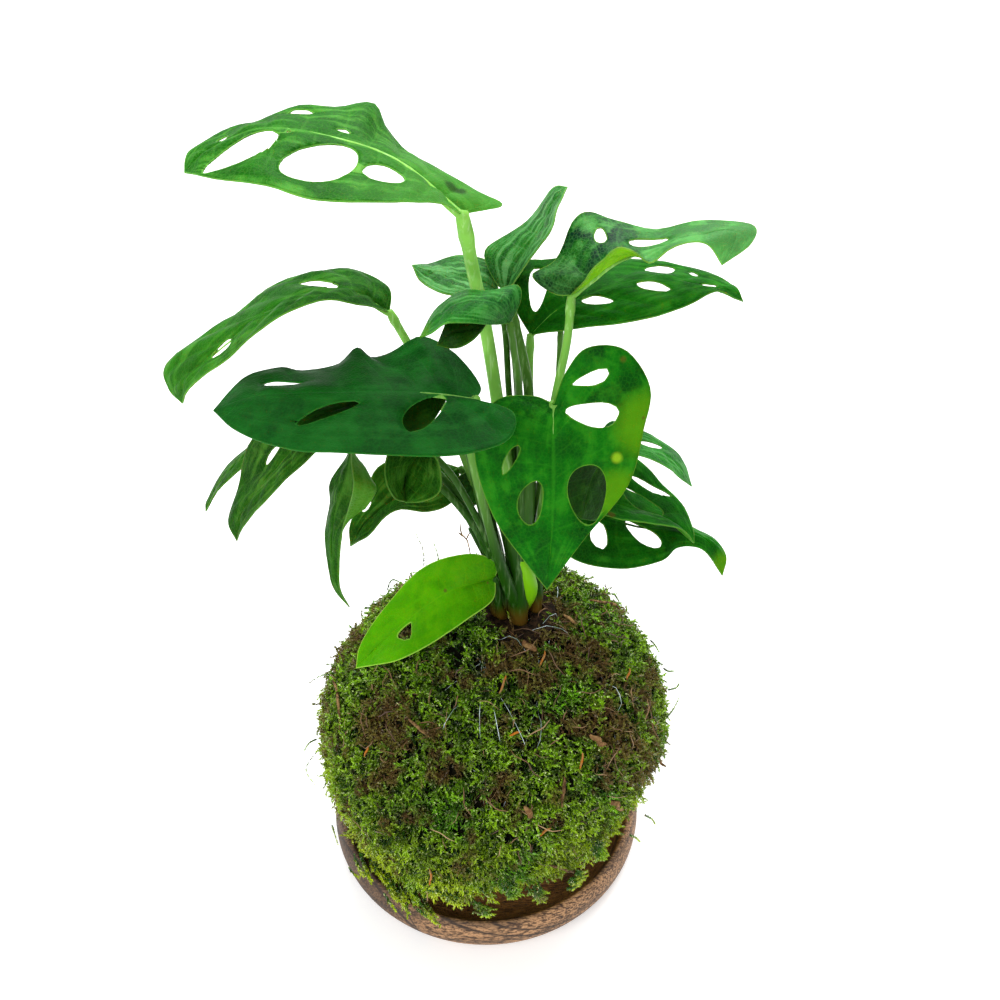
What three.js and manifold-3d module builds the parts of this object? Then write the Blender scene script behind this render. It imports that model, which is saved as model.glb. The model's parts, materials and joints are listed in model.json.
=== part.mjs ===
// A kokedama: a house plant with perforated leaves that grows from a moss-covered soil ball, on a turned
// wooden saucer. Millimetres, +Z up. The origin is the middle of the foot of the saucer. The front is -Y.

import * as THREE from 'three';
import { mergeGeometries, mergeVertices } from 'three/addons/utils/BufferGeometryUtils.js';
import Module from 'manifold-3d';

const wasm = await Module();
wasm.setup();

// Clearance between pieces that touch, wider between a blade and its petiole
const GAP = 0.3;
const BLADE_GAP = 0.45;

// Saucer
const SAUCER_RADIUS = 60;
const SAUCER_HEIGHT = 17;
const SAUCER_FLOOR = 5;
const SAUCER_FLOOR_RADIUS = 44;
const SAUCER_FOOT_RADIUS = 54;
const SAUCER_SIDES = 48;

// Moss ball
const BALL_CENTRE = new THREE.Vector3(4, -4, 62);
const BALL_RADIUS = 64;
const BALL_HALF_HEIGHT = 59.5;
const MOSS_THICKNESS = 14;
const MOSS_LUMP = 0.9;
const HOLLOW_DEPTH = 8;
const HOLLOW_DIRECTION = new THREE.Vector3(0.55, -0.65, -0.52).normalize();
const HOLLOW_EDGE = [0.47, 0.94];
const MOSS_SIDES = [28, 18];
const CORE_SIDES = [24, 14];
const CORE_CLEARANCE = 0.8;
const CROWN = new THREE.Vector2(11, -1);
const CROWN_RADIUS = 14;
const CROWN_SIDES = 24;
const CROWN_SOIL_TOP = 118;
const CROWN_CUT_TOP = 140;

// Binding thread
const THREAD_RADIUS = 0.4;
const THREAD_LIFT = 0.8;
const THREAD_POINTS = 40;
const THREAD_SIDES = 4;
const THREAD_LOOPS = [
  { tilt: 38, turn: 15 },
  { tilt: 44, turn: 140 },
  { tilt: 34, turn: 255 },
];

// Leaves
const BLADE_THICKNESS = 0.7;
const BLADE_ROWS = 10;
const BLADE_COLUMNS = 6;
const VEIN_FAN = 1.35;
const BOW_SPEED = 1.6;
const HOLE_SIDES = 10;
const HOLE_CUT_DEPTH = 6;
const PETIOLE_SIDES = 6;
const PETIOLE_STEPS = 9;
const STEM_SIDES = 8;
const STEM_STEPS = 4;
const STEM_BOTTOM = 97;
const SOCKET_BOTTOM = STEM_BOTTOM - GAP;
const SOCKET_CLEARANCE = 0.7;

const FRESH = '#4ca832';
const DEEP = '#1c6b2c';
const MID = '#2f8a2c';
const LIME = '#79b51a';
const STEM_GREEN = '#6fae3c';

const standard = (color, roughness) => new THREE.MeshStandardMaterial({ color, roughness, metalness: 0 });
const radians = THREE.MathUtils.degToRad;
const vector = ([x, y, z]) => new THREE.Vector3(x, y, z);
const smoothCurve = (points) => new THREE.CatmullRomCurve3(points.map(vector), false, 'catmullrom', 0.5);

// Closed solids
function dropFlatTriangles(geometry) {
  const index = Array.from(geometry.index.array);
  const kept = [];
  for (let i = 0; i < index.length; i += 3) {
    const [a, b, c] = index.slice(i, i + 3);
    if (a !== b && b !== c && c !== a) kept.push(a, b, c);
  }
  geometry.setIndex(kept);
  return geometry;
}

function toSolid(source) {
  let geometry = source.clone();
  geometry.deleteAttribute('normal');
  geometry.deleteAttribute('uv');
  geometry = dropFlatTriangles(mergeVertices(geometry, 1e-4));
  const vertProperties = new Float32Array(geometry.attributes.position.array);
  const triVerts = new Uint32Array(geometry.index.array);
  return new wasm.Manifold(new wasm.Mesh({ numProp: 3, vertProperties, triVerts }));
}

function toGeometry(solid) {
  const { vertProperties, triVerts } = solid.getMesh();
  const geometry = new THREE.BufferGeometry();
  geometry.setAttribute('position', new THREE.BufferAttribute(new Float32Array(vertProperties), 3));
  geometry.setIndex(new THREE.BufferAttribute(new Uint32Array(triVerts), 1));
  geometry.computeVertexNormals();
  return geometry;
}

function largestBody(solid) {
  return solid.decompose().reduce((best, body) => (body.volume() > best.volume() ? body : best));
}

function named(name, geometry, material) {
  const mesh = new THREE.Mesh(geometry, material);
  mesh.name = name;
  return mesh;
}

function lathe(profile, sides) {
  const geometry = new THREE.LatheGeometry(profile.map(([r, z]) => new THREE.Vector2(r, z)), sides);
  return geometry.rotateX(Math.PI / 2);
}

function polygon(radius, sides) {
  const circle = new THREE.Shape();
  circle.absarc(0, 0, radius, 0, 2 * Math.PI);
  return new THREE.Shape(circle.getSpacedPoints(sides).slice(0, sides));
}

function extruded(outline, path, steps) {
  return new THREE.ExtrudeGeometry(outline, { extrudePath: path, steps, bevelEnabled: false });
}

// Saucer: a turned dish with a rounded wall, a sloping inside and a flat floor
function makeSaucer() {
  const profile = [
    [0, 0], [SAUCER_FOOT_RADIUS, 0], [SAUCER_RADIUS - 2, 3], [SAUCER_RADIUS, 8],
    [SAUCER_RADIUS - 0.5, 12.5], [SAUCER_RADIUS - 2, SAUCER_HEIGHT - 0.8],
    [SAUCER_RADIUS - 3.2, SAUCER_HEIGHT],
    [SAUCER_RADIUS - 4.6, SAUCER_HEIGHT - 0.6], [SAUCER_RADIUS - 7.5, 10.5],
    [SAUCER_FLOOR_RADIUS, SAUCER_FLOOR], [0, SAUCER_FLOOR],
  ];
  return lathe(profile, SAUCER_SIDES);
}

// Moss ball: an ellipsoid with low swellings and thinner moss low on the front right, by one function of
// direction for the moss and its thread
function swelling(direction) {
  const { x, y, z } = direction;
  return Math.sin(5 * x + 1.3) * Math.cos(4 * y - 0.4) + 0.6 * Math.sin(7 * z + 3 * x + 2);
}

function ballPoint(direction, lift) {
  const hollow = THREE.MathUtils.smoothstep(direction.dot(HOLLOW_DIRECTION), ...HOLLOW_EDGE);
  const reach = lift + MOSS_LUMP * swelling(direction) - HOLLOW_DEPTH * hollow;
  const across = BALL_RADIUS + reach;
  const tall = BALL_HALF_HEIGHT + reach;
  return new THREE.Vector3(direction.x * across, direction.y * across, direction.z * tall).add(BALL_CENTRE);
}

function coreEllipsoid(depth) {
  const geometry = new THREE.SphereGeometry(1, ...CORE_SIDES).rotateX(Math.PI / 2);
  geometry.scale(BALL_RADIUS - depth, BALL_RADIUS - depth, BALL_HALF_HEIGHT - depth);
  return toSolid(geometry.translate(BALL_CENTRE.x, BALL_CENTRE.y, BALL_CENTRE.z));
}

function mossSurface() {
  const geometry = new THREE.SphereGeometry(1, ...MOSS_SIDES).rotateX(Math.PI / 2);
  const position = geometry.attributes.position;
  for (let i = 0; i < position.count; i += 1) {
    const direction = new THREE.Vector3().fromBufferAttribute(position, i).normalize();
    const point = ballPoint(direction, 0);
    position.setXYZ(i, point.x, point.y, point.z);
  }
  return toSolid(geometry);
}

function crownCylinder(radius, bottom, top) {
  const cylinder = new THREE.CylinderGeometry(radius, radius, top - bottom, CROWN_SIDES);
  cylinder.rotateX(Math.PI / 2);
  return toSolid(cylinder.translate(CROWN.x, CROWN.y, (top + bottom) / 2));
}

function belowSaucerFloor() {
  const width = 4 * BALL_RADIUS;
  const depth = 20;
  const top = SAUCER_FLOOR + GAP;
  return toSolid(new THREE.BoxGeometry(width, width, depth).translate(0, 0, top - depth / 2));
}

function makeMossJacket() {
  return mossSurface()
    .subtract(coreEllipsoid(MOSS_THICKNESS))
    .subtract(crownCylinder(CROWN_RADIUS, BALL_CENTRE.z, CROWN_CUT_TOP))
    .subtract(belowSaucerFloor());
}

function makeSoilCore(sockets) {
  const core = coreEllipsoid(MOSS_THICKNESS + CORE_CLEARANCE);
  const plug = crownCylinder(CROWN_RADIUS - 2 * GAP, BALL_CENTRE.z, CROWN_SOIL_TOP);
  return sockets.reduce((soil, socket) => soil.subtract(socket), core.add(plug));
}

// Thread: tilted rings that follow the moss and cross each other
function makeThread() {
  const loops = THREAD_LOOPS.map(({ tilt, turn }) => {
    const turned = new THREE.Euler(radians(tilt), 0, radians(turn), 'ZYX');
    const points = [];
    for (let step = 0; step < THREAD_POINTS; step += 1) {
      const angle = (2 * Math.PI * step) / THREAD_POINTS;
      const direction = new THREE.Vector3(Math.cos(angle), Math.sin(angle), 0).applyEuler(turned);
      points.push(ballPoint(direction, THREAD_LIFT));
    }
    const path = new THREE.CatmullRomCurve3(points, true);
    return toSolid(extruded(polygon(THREAD_RADIUS, THREAD_SIDES), path, THREAD_POINTS));
  });
  return loops.reduce((all, loop) => all.add(loop));
}

// A hole in a blade: its side, its place from petiole to tip and from midrib to margin, its length, its width
// and how many degrees its length turns from the side vein towards the tip
const hole = (side, along, across, length, width, turn) => ({ side, along, across, length, width, turn });

// Every blade hangs between three lines from the petiole to the tip: the midrib and the left and right
// margins, seen on the upper face with the tip ahead. bow moves the middle of the left half sideways, on a
// rolled leaf.
const LEAVES = [
  {
    name: 'leaf_top', colour: FRESH,
    midrib: [[-4, -6, 267], [-19, -2, 279], [-35, 1, 284], [-52, 2, 286], [-65, -1, 282], [-71, -6, 278]],
    left: [[-4, -6, 267], [-9, -16, 275], [-20, -24, 279], [-34, -27, 281], [-47, -24, 283],
      [-62, -15, 281], [-71, -6, 278]],
    right: [[-4, -6, 267], [6, -1, 267], [0, 4, 269], [-6, 9, 270], [-13, 13, 272], [-20, 17, 275],
      [-24, 20, 278], [-27, 24, 283], [-36, 24, 282], [-46, 22, 284], [-55, 17, 282], [-64, 13, 281],
      [-71, 5, 280], [-72, 0, 279], [-71, -6, 278]],
    holes: [
      hole('left', 0.75, 0.44, 19.5, 9, 67), hole('left', 0.54, 0.42, 22, 9.5, 48),
      hole('left', 0.35, 0.42, 11, 6, 68), hole('right', 0.63, 0.68, 6.5, 4.5, -68),
      hole('right', 0.5, 0.18, 3, 2, -81),
    ],
  },
  {
    name: 'leaf_left_arching', colour: FRESH,
    midrib: [[-25, 5, 232], [-36, 2, 241], [-49, -2, 241], [-65, -3, 231], [-81, -4, 217],
      [-84, -6, 209]],
    left: [[-25, 5, 232], [-31, -6, 241], [-41, -11, 245], [-52, -14, 241], [-67, -13, 228],
      [-80, -9, 216], [-84, -6, 209]],
    right: [[-25, 5, 232], [-26, 14, 235], [-37, 21, 236], [-55, 20, 234], [-73, 16, 223], [-90, 8, 214],
      [-89, 0, 210], [-84, -6, 209]],
    holes: [hole('right', 0.43, 0.42, 7.5, 5.5, 80), hole('right', 0.66, 0.3, 9, 4, 60)],
  },
  {
    name: 'leaf_front_broad', colour: DEEP,
    midrib: [[-1, -22, 222], [-12, -22, 224], [-23, -24, 226], [-45, -27, 228], [-58, -29, 228],
      [-68, -31, 225]],
    left: [[-1, -22, 222], [9, -28, 222], [7, -36, 219], [-7, -43, 220], [-32, -47, 224],
      [-46, -46, 224], [-60, -40, 225], [-68, -31, 225]],
    right: [[-1, -22, 222], [0, -14, 221], [-7, -5, 225], [-16, -1, 228], [-24, -2, 224], [-30, -3, 223],
      [-34, -2, 225], [-39, -6, 222], [-48, -9, 222], [-55, -9, 223], [-63, -15, 224], [-68, -31, 225]],
    holes: [
      hole('right', 0.77, 0.4, 9.5, 4.5, -77), hole('left', 0.63, 0.34, 17, 4, 58),
      hole('left', 0.42, 0.37, 17, 7, 60),
    ],
  },
  {
    name: 'leaf_front_heart', colour: MID,
    midrib: [[20, -14, 215], [20, -22, 203], [20, -29, 186], [19, -34, 163]],
    left: [[20, -14, 215], [23, -9, 221], [29, -5, 227], [39, -6, 226], [46, -10, 217], [45, -16, 207],
      [40, -24, 194], [29, -31, 180], [19, -34, 163]],
    right: [[20, -14, 215], [15, -11, 215], [5, -12, 215], [-1, -18, 209], [-1, -22, 198], [4, -28, 185],
      [12, -33, 174], [19, -34, 163]],
    holes: [
      hole('left', 0.33, 0.65, 12, 4, 40), hole('left', 0.43, 0.46, 15, 7, 55),
      hole('left', 0.71, 0.42, 17, 10, -65), hole('right', 0.67, 0.34, 12, 6.5, 76),
      hole('right', 0.51, 0.54, 9, 3, 73),
    ],
  },
  {
    name: 'leaf_small_arching', colour: MID,
    midrib: [[8, -7, 236], [4, -10, 244], [-4, -14, 247], [-10, -18, 245], [-15, -20, 240]],
    left: [[8, -7, 236], [3, -14, 240], [-3, -21, 245], [-8, -24, 247], [-12, -23, 243], [-15, -20, 240]],
    right: [[8, -7, 236], [11, -2, 240], [10, 1, 243], [3, 0, 242], [-5, -4, 244], [-11, -11, 243],
      [-15, -20, 240]],
    holes: [],
  },
  {
    name: 'leaf_back_left', colour: FRESH,
    midrib: [[5, 18, 231], [-3, 19, 234], [-11, 18, 237], [-19, 15, 241]],
    left: [[5, 18, 231], [-1, 12, 233], [-9, 9, 235], [-16, 11, 238], [-19, 15, 241]],
    right: [[5, 18, 231], [3, 25, 236], [-6, 29, 236], [-13, 27, 235], [-19, 15, 241]],
    holes: [],
  },
  {
    name: 'leaf_back_upright', colour: MID,
    midrib: [[7, 16, 232], [11, 18, 240], [17, 22, 248], [21, 26, 255], [24, 28, 258]],
    left: [[7, 16, 232], [4, 18, 234], [1, 25, 239], [6, 29, 242], [14, 33, 246], [20, 33, 255],
      [24, 28, 258]],
    right: [[7, 16, 232], [9, 13, 236], [14, 12, 245], [19, 14, 252], [21, 19, 256], [24, 28, 258]],
    holes: [],
  },
  {
    name: 'leaf_right_twisted', colour: DEEP,
    midrib: [[24.7, 4.6, 237.6], [30, 5, 242], [34, 5, 246], [39, 7, 248], [47, 10, 249], [59, 13, 251],
      [69, 13, 252], [65, 6, 246]],
    left: [[24.7, 4.6, 237.6], [20, 5, 238], [14, 6, 243], [20, 13, 244], [25, 23, 251], [30, 25, 253],
      [37, 23, 251], [48, 22, 249], [62, 21, 251], [75, 18, 252], [74, 12, 249], [65, 6, 246]],
    right: [[24.7, 4.6, 237.6], [27, 0, 244], [29, 0, 248], [32, 0, 251], [36, 1, 254], [40, 1, 253],
      [45, 2, 249], [50, 4, 252], [56, 8, 252], [61, 8, 251], [65, 6, 246]],
    holes: [hole('left', 0.45, 0.52, 5.5, 2.5, 10), hole('left', 0.63, 0.32, 10.5, 4.5, 74)],
  },
  {
    name: 'leaf_right_long', colour: MID,
    midrib: [[14, 9, 222], [22, 12, 229], [32, 14, 233], [45, 16, 236], [56, 16, 235], [66, 15, 234],
      [73, 9, 233]],
    left: [[14, 9, 222], [9, 16, 229], [11, 26, 235], [21, 33, 233], [38, 37, 231], [53, 35, 231],
      [64, 30, 231], [70, 22, 232], [72, 14, 234], [73, 9, 233]],
    right: [[14, 9, 222], [23, 4, 227], [38, 1, 231], [47, 1, 233], [57, 4, 235], [65, 9, 236],
      [70, 9, 234], [73, 9, 233]],
    holes: [
      hole('right', 0.4, 0.2, 9, 3, 19), hole('right', 0.59, 0.28, 9.5, 4, 15),
      hole('left', 0.59, 0.6, 8.5, 9, 54), hole('left', 0.25, 0.52, 13, 4.5, 34),
      hole('left', 0.69, 0.66, 2.5, 4.5, 40),
    ],
  },
  {
    name: 'leaf_right_small', colour: MID,
    midrib: [[36, 16, 180], [52, 20, 173], [61, 20, 167], [68, 18, 158]],
    left: [[36, 16, 180], [41, 24, 180], [53, 28, 172], [62, 28, 166], [66, 24, 162], [68, 18, 158]],
    right: [[36, 16, 180], [40, 12, 178], [51, 13, 174], [59, 14, 169], [64, 16, 163], [68, 18, 158]],
    holes: [hole('left', 0.47, 0.28, 10, 3, 41)],
  },
  {
    name: 'leaf_right_slotted', colour: MID,
    midrib: [[33, 10, 163], [46, 10, 156], [58, 10, 152], [69, 7, 143]],
    left: [[33, 10, 163], [33, 18, 169], [41, 25, 170], [52, 27, 161], [59, 26, 153], [66, 20, 148],
      [69, 12, 145], [69, 7, 143]],
    right: [[33, 10, 163], [34, 4, 161], [43, 1, 159], [54, 2, 156], [64, 4, 152], [69, 7, 143]],
    holes: [hole('left', 0.54, 0.68, 17.5, 2.5, 64), hole('left', 0.55, 0.18, 16, 7, 80)],
  },
  {
    name: 'leaf_right_low', colour: MID,
    midrib: [[24, 4, 161], [38, 8, 154], [51, 11, 147], [65, 13, 143], [75, 13, 138], [81, 10, 125]],
    left: [[24, 4, 161], [28, 12, 161], [42, 20, 157], [51, 24, 150], [58, 26, 144], [72, 23, 135],
      [79, 18, 134], [82, 13, 131], [81, 10, 125]],
    right: [[24, 4, 161], [20, -6, 159], [29, -8, 150], [44, -5, 143], [58, 0, 142], [64, 8, 140],
      [73, 10, 137], [81, 10, 125]],
    holes: [hole('right', 0.52, 0.24, 14, 6.5, 55), hole('right', 0.33, 0.4, 8.5, 6.5, 24)],
  },
  {
    name: 'leaf_left_low', colour: FRESH,
    midrib: [[-48, 2, 196], [-56, 0, 188], [-63, -2, 180], [-72, -5, 169], [-76, -8, 158]],
    left: [[-48, 2, 196], [-46, -4, 194], [-54, -8, 187], [-65, -11, 176], [-72, -10, 167], [-76, -8, 158]],
    right: [[-48, 2, 196], [-58, 10, 192], [-71, 12, 182], [-76, 7, 169], [-79, -2, 162], [-76, -8, 158]],
    holes: [hole('right', 0.45, 0.36, 9, 2.5, 52)],
  },
  {
    name: 'leaf_left_narrow', colour: FRESH,
    midrib: [[-62, 17, 182], [-74, 15, 174], [-83, 12, 165], [-89, 8, 156]],
    left: [[-62, 17, 182], [-65, 12, 179], [-77, 9, 171], [-85, 8, 164], [-89, 8, 156]],
    right: [[-62, 17, 182], [-72, 22, 175], [-84, 19, 164], [-89, 12, 158], [-89, 8, 156]],
    holes: [],
  },
  {
    name: 'leaf_hanging_rolled', colour: MID, bow: [8, -3, 0],
    midrib: [[-37, -10, 197], [-39, -14, 188], [-43, -17, 177], [-45, -19, 160], [-43, -22, 143]],
    left: [[-37, -10, 197], [-36, -20, 199], [-35, -27, 196], [-38, -24, 184], [-41, -21, 173],
      [-43, -20, 157], [-43, -22, 143]],
    right: [[-37, -10, 197], [-39, -9, 192], [-44, -9, 183], [-45, -11, 177], [-47, -15, 167],
      [-46, -18, 155], [-43, -22, 143]],
    holes: [],
  },
  {
    name: 'leaf_centre_cupped', colour: DEEP,
    midrib: [[-16, -8, 195], [-21, -8, 188], [-23, -10, 182], [-22, -14, 179]],
    left: [[-16, -8, 195], [-12, -14, 194], [-12, -18, 187], [-17, -18, 183], [-22, -14, 179]],
    right: [[-16, -8, 195], [-25, -12, 198], [-27, -18, 193], [-25, -18, 185], [-22, -14, 179]],
    holes: [],
  },
  {
    name: 'leaf_centre_ragged', colour: MID,
    midrib: [[-7, 8, 174], [-17, 6, 171], [-28, 3, 165], [-36, 0, 159], [-42, -3, 151]],
    left: [[-7, 8, 174], [-8, 2, 168], [-12, -1, 167], [-18, -2, 166], [-25, -3, 168], [-30, -4, 164],
      [-35, -6, 159], [-39, -6, 156], [-42, -3, 151]],
    right: [[-7, 8, 174], [-13, 12, 173], [-24, 14, 173], [-33, 12, 171], [-38, 7, 163], [-42, 1, 157],
      [-42, -3, 151]],
    holes: [hole('right', 0.54, 0.6, 2.5, 1.5, -13), hole('left', 0.38, 0.36, 3, 2, 88)],
  },
  {
    name: 'leaf_low_bright', colour: LIME,
    midrib: [[4, -5, 139], [-12, -6, 133], [-28, -12, 123], [-42, -19, 111]],
    left: [[4, -5, 139], [3, -11, 135], [-5, -16, 131], [-17, -22, 126], [-29, -24, 120], [-42, -19, 111]],
    right: [[4, -5, 139], [4, -4, 145], [-5, 1, 144], [-20, 5, 134], [-30, -1, 126], [-40, -12, 117],
      [-42, -19, 111]],
    holes: [hole('left', 0.69, 0.36, 8, 4.5, -27)],
  },
];

// Stems: short vine stems that stand in the soil, each with the petioles of its own leaves
const STEMS = [
  {
    name: 'stems_left', radius: 2.2, stem: [[6, -1, STEM_BOTTOM], [6, -1, 120], [5.5, -1, 143]],
    petioles: [
      { radius: 1.3, route: [[6, -1, 136], [3, 0, 150], [-4, 3, 177], [-12, 4, 203], [-21, 5, 223],
        [-25, 5, 232]] },
      { radius: 1.1, route: [[6, -1, 134], [-3, -1, 162], [-18, 1, 184], [-34, 3, 195], [-48, 2, 196]] },
      { radius: 1.0, route: [[6, 0, 130], [-7, 9, 157], [-27, 18, 174], [-47, 19, 185], [-62, 17, 182]] },
      { radius: 1.2, route: [[6, -1, 136], [-3, -2, 160], [-16, -4, 181], [-29, -6, 194],
        [-36, -9, 196.5]] },
      { radius: 1.1, route: [[6, -1, 138], [0, -5, 160], [-8, -8, 183], [-16, -8, 195]] },
      { radius: 1.2, route: [[6, 0, 136], [4, 4, 150], [-1, 7, 165], [-7, 8, 174]] },
      { radius: 1.3, route: [[6, -2, 118], [5, -4.5, 126], [4.5, -5.5, 133], [4, -5, 139]] },
    ],
  },
  {
    name: 'stems_main', radius: 3, stem: [[12, -3, STEM_BOTTOM], [12, -3, 110], [11.5, -3, 128],
    [11, -2.5, 152]],
    petioles: [
      { radius: 1.8, route: [[11.5, -3, 130], [8.3, -1, 170], [4.9, 2, 204], [1.8, 4, 229], [-0.9, 3, 245],
        [-4, -6, 267]] },
      { radius: 1.5, route: [[11, -4, 124], [5, -7.5, 150], [0, -9, 176], [-3.5, -12, 203],
        [-1, -22, 222]] },
      { radius: 1.1, route: [[12, -3, 140], [12, -3, 165], [11, -4, 208], [9, -6, 228], [8, -7, 236]] },
      { radius: 1.0, route: [[11, -1.5, 145], [10, 3, 178], [8, 7, 204], [7, 12, 220], [5, 18, 231]] },
      { radius: 1.0, route: [[11, -1.5, 145], [11, 4, 185], [10, 8, 210], [7, 16, 232]] },
    ],
  },
  {
    name: 'stems_right', radius: 2.1, stem: [[17.5, 2, STEM_BOTTOM], [17.5, 2, 130], [17, 2.5, 168]],
    petioles: [
      { radius: 1.3, route: [[17.5, 2, 148], [18.5, -3, 168], [19.5, -8, 190], [20, -11, 204],
        [20, -14, 215]] },
      { radius: 1.3, route: [[17, 2, 160], [18.6, 1, 178], [21, -1, 206], [23.8, 0, 225],
        [24.8, 4.4, 237]] },
      { radius: 1.2, route: [[17, 3, 155], [15, 4, 175], [14, 6, 204], [14, 9, 222]] },
      { radius: 1.0, route: [[17, 3, 162], [24, 8, 174], [31, 13, 181], [36, 16, 180]] },
      { radius: 1.0, route: [[17, 3, 160], [23, 6, 168], [29, 9, 168], [33, 10, 163]] },
      { radius: 1.1, route: [[17.5, 2, 146], [20, 2.5, 155], [22, 3.5, 160], [24, 4, 161]] },
    ],
  },
];

// Blades
function withCurves(leaf) {
  const lines = ['midrib', 'left', 'right'].map((line) => [line, smoothCurve(leaf[line])]);
  return { bow: [0, 0, 0], ...leaf, curves: Object.fromEntries(lines) };
}

function bladePoint(leaf, along, across) {
  const out = Math.abs(across);
  const side = across < 0 ? 'left' : 'right';
  const point = leaf.curves.midrib.getPoint(along ** VEIN_FAN).lerp(leaf.curves[side].getPoint(along), out);
  if (across < 0) {
    const amount = 4 * out * (1 - out) * Math.sin(Math.PI * Math.min(1, along * BOW_SPEED)) ** 2;
    point.addScaledVector(vector(leaf.bow), amount);
  }
  return point;
}

function bladeAxes(leaf, along, across) {
  const step = 0.02;
  const t = THREE.MathUtils.clamp(along, 0.04, 0.96);
  const v = THREE.MathUtils.clamp(across, -1 + step, 1 - step);
  const outward = bladePoint(leaf, t, v + step).sub(bladePoint(leaf, t, v - step));
  const forward = bladePoint(leaf, t + step, v).sub(bladePoint(leaf, t - step, v));
  const up = outward.clone().cross(forward).normalize();
  return { outward: outward.normalize(), forward: forward.normalize(), up };
}

function bladeSheet(columns, rows, place) {
  const sheet = new THREE.PlaneGeometry(2, 1, columns, rows);
  const position = sheet.attributes.position;
  for (let i = 0; i < position.count; i += 1) {
    const point = place(position.getX(i), position.getY(i) + 0.5);
    position.setXYZ(i, point.x, point.y, point.z);
  }
  return sheet;
}

function endNormal(leaf, along) {
  const normals = [-1, -0.6, -0.2, 0.2, 0.6, 1].map((across) => bladeAxes(leaf, along, across).up);
  return normals.reduce((sum, up) => sum.add(up)).normalize();
}

function bladeSolid(leaf, growth) {
  const face = (lift) => (across, along) => {
    const atEnd = along < 1e-6 || along > 1 - 1e-6;
    const { outward, forward, up } = bladeAxes(leaf, along, atEnd ? 0 : across);
    const point = bladePoint(leaf, along, across).addScaledVector(atEnd ? endNormal(leaf, along) : up, lift);
    if (atEnd) return point.addScaledVector(forward, Math.sign(along - 0.5) * growth);
    return Math.abs(across) > 1 - 1e-6 ? point.addScaledVector(outward, Math.sign(across) * growth) : point;
  };
  const half = BLADE_THICKNESS / 2 + growth;
  const top = bladeSheet(BLADE_COLUMNS, BLADE_ROWS, face(half));
  const bottom = bladeSheet(BLADE_COLUMNS, BLADE_ROWS, face(-half));
  bottom.index.array.reverse();
  const rim = (side) => bladeSheet(1, BLADE_ROWS, (x, along) => face(-x * side * half)(side, along));
  return toSolid(mergeGeometries([top, bottom, rim(-1), rim(1)]));
}

function holeCutter(leaf, { side, along, across, length, width, turn }) {
  const outer = side === 'left' ? -across : across;
  const { outward, up } = bladeAxes(leaf, along, outer);
  const vein = outward.multiplyScalar(Math.sign(outer));
  const outline = new THREE.Shape();
  outline.absellipse(0, 0, length / 2, width / 2, 0, 2 * Math.PI, false, 0);
  const shape = new THREE.Shape(outline.getPoints(HOLE_SIDES / 2).slice(0, HOLE_SIDES));
  const cutter = new THREE.ExtrudeGeometry(shape, { depth: HOLE_CUT_DEPTH, bevelEnabled: false });
  cutter.translate(0, 0, -HOLE_CUT_DEPTH / 2).rotateZ(radians(turn) * Math.sign(outer));
  const axisY = up.clone().cross(vein);
  const place = new THREE.Matrix4().makeBasis(vein, axisY, up).setPosition(bladePoint(leaf, along, outer));
  return toSolid(cutter.applyMatrix4(place));
}

function makeBlade(leaf) {
  const cutters = leaf.holes.map((cut) => holeCutter(leaf, cut));
  return largestBody(cutters.reduce((blade, cutter) => blade.subtract(cutter), bladeSolid(leaf, 0)));
}

function stemParts({ stem, radius, petioles }) {
  const shoots = petioles.map((petiole) => {
    return extruded(polygon(petiole.radius, PETIOLE_SIDES), smoothCurve(petiole.route), PETIOLE_STEPS);
  });
  return [extruded(polygon(radius, STEM_SIDES), smoothCurve(stem), STEM_STEPS), ...shoots].map(toSolid);
}

function makeStems(stems, blades) {
  const joined = stemParts(stems).reduce((all, part) => all.add(part));
  return largestBody(blades.reduce((solid, blade) => solid.subtract(blade), joined));
}

function makeSocket({ stem, radius }) {
  const [x, y] = stem[0];
  const height = CROWN_CUT_TOP - SOCKET_BOTTOM;
  const reach = radius + SOCKET_CLEARANCE;
  const cylinder = new THREE.CylinderGeometry(reach, reach, height, 2 * STEM_SIDES).rotateX(Math.PI / 2);
  return toSolid(cylinder.translate(x, y, SOCKET_BOTTOM + height / 2));
}

const leaves = LEAVES.map(withCurves);
const clearBlades = leaves.map((leaf) => bladeSolid(leaf, BLADE_GAP));

const kokedama = new THREE.Group();
kokedama.add(named('saucer', makeSaucer(), standard('#8a5a36', 0.7)));
kokedama.add(named('soil_core', toGeometry(makeSoilCore(STEMS.map(makeSocket))), standard('#2e2118', 1)));
kokedama.add(named('moss_jacket', toGeometry(makeMossJacket()), standard('#5c7d1e', 1)));
kokedama.add(named('binding_thread', toGeometry(makeThread()), standard('#c9d6df', 0.3)));
STEMS.forEach((stems) => {
  kokedama.add(named(stems.name, toGeometry(makeStems(stems, clearBlades)), standard(STEM_GREEN, 0.5)));
});
leaves.forEach((leaf) => {
  kokedama.add(named(leaf.name, toGeometry(makeBlade(leaf)), standard(leaf.colour, 0.45)));
});

export default kokedama;
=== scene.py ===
# %% [markdown]
# A kokedama is a house plant whose roots sit in a ball of damp soil, wrapped in living moss that is tied on with
# thin clear line. This one carries a climbing plant with holes in its leaves and rests on a turned wooden
# saucer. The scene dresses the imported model: each solid of the model is the true place and size of a piece, and
# the pieces made here take its place with finer surfaces.

# %% Frame and units
import json
import math

import bmesh
import bpy
import numpy as np
from mathutils import Matrix, Vector, kdtree, noise


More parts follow.
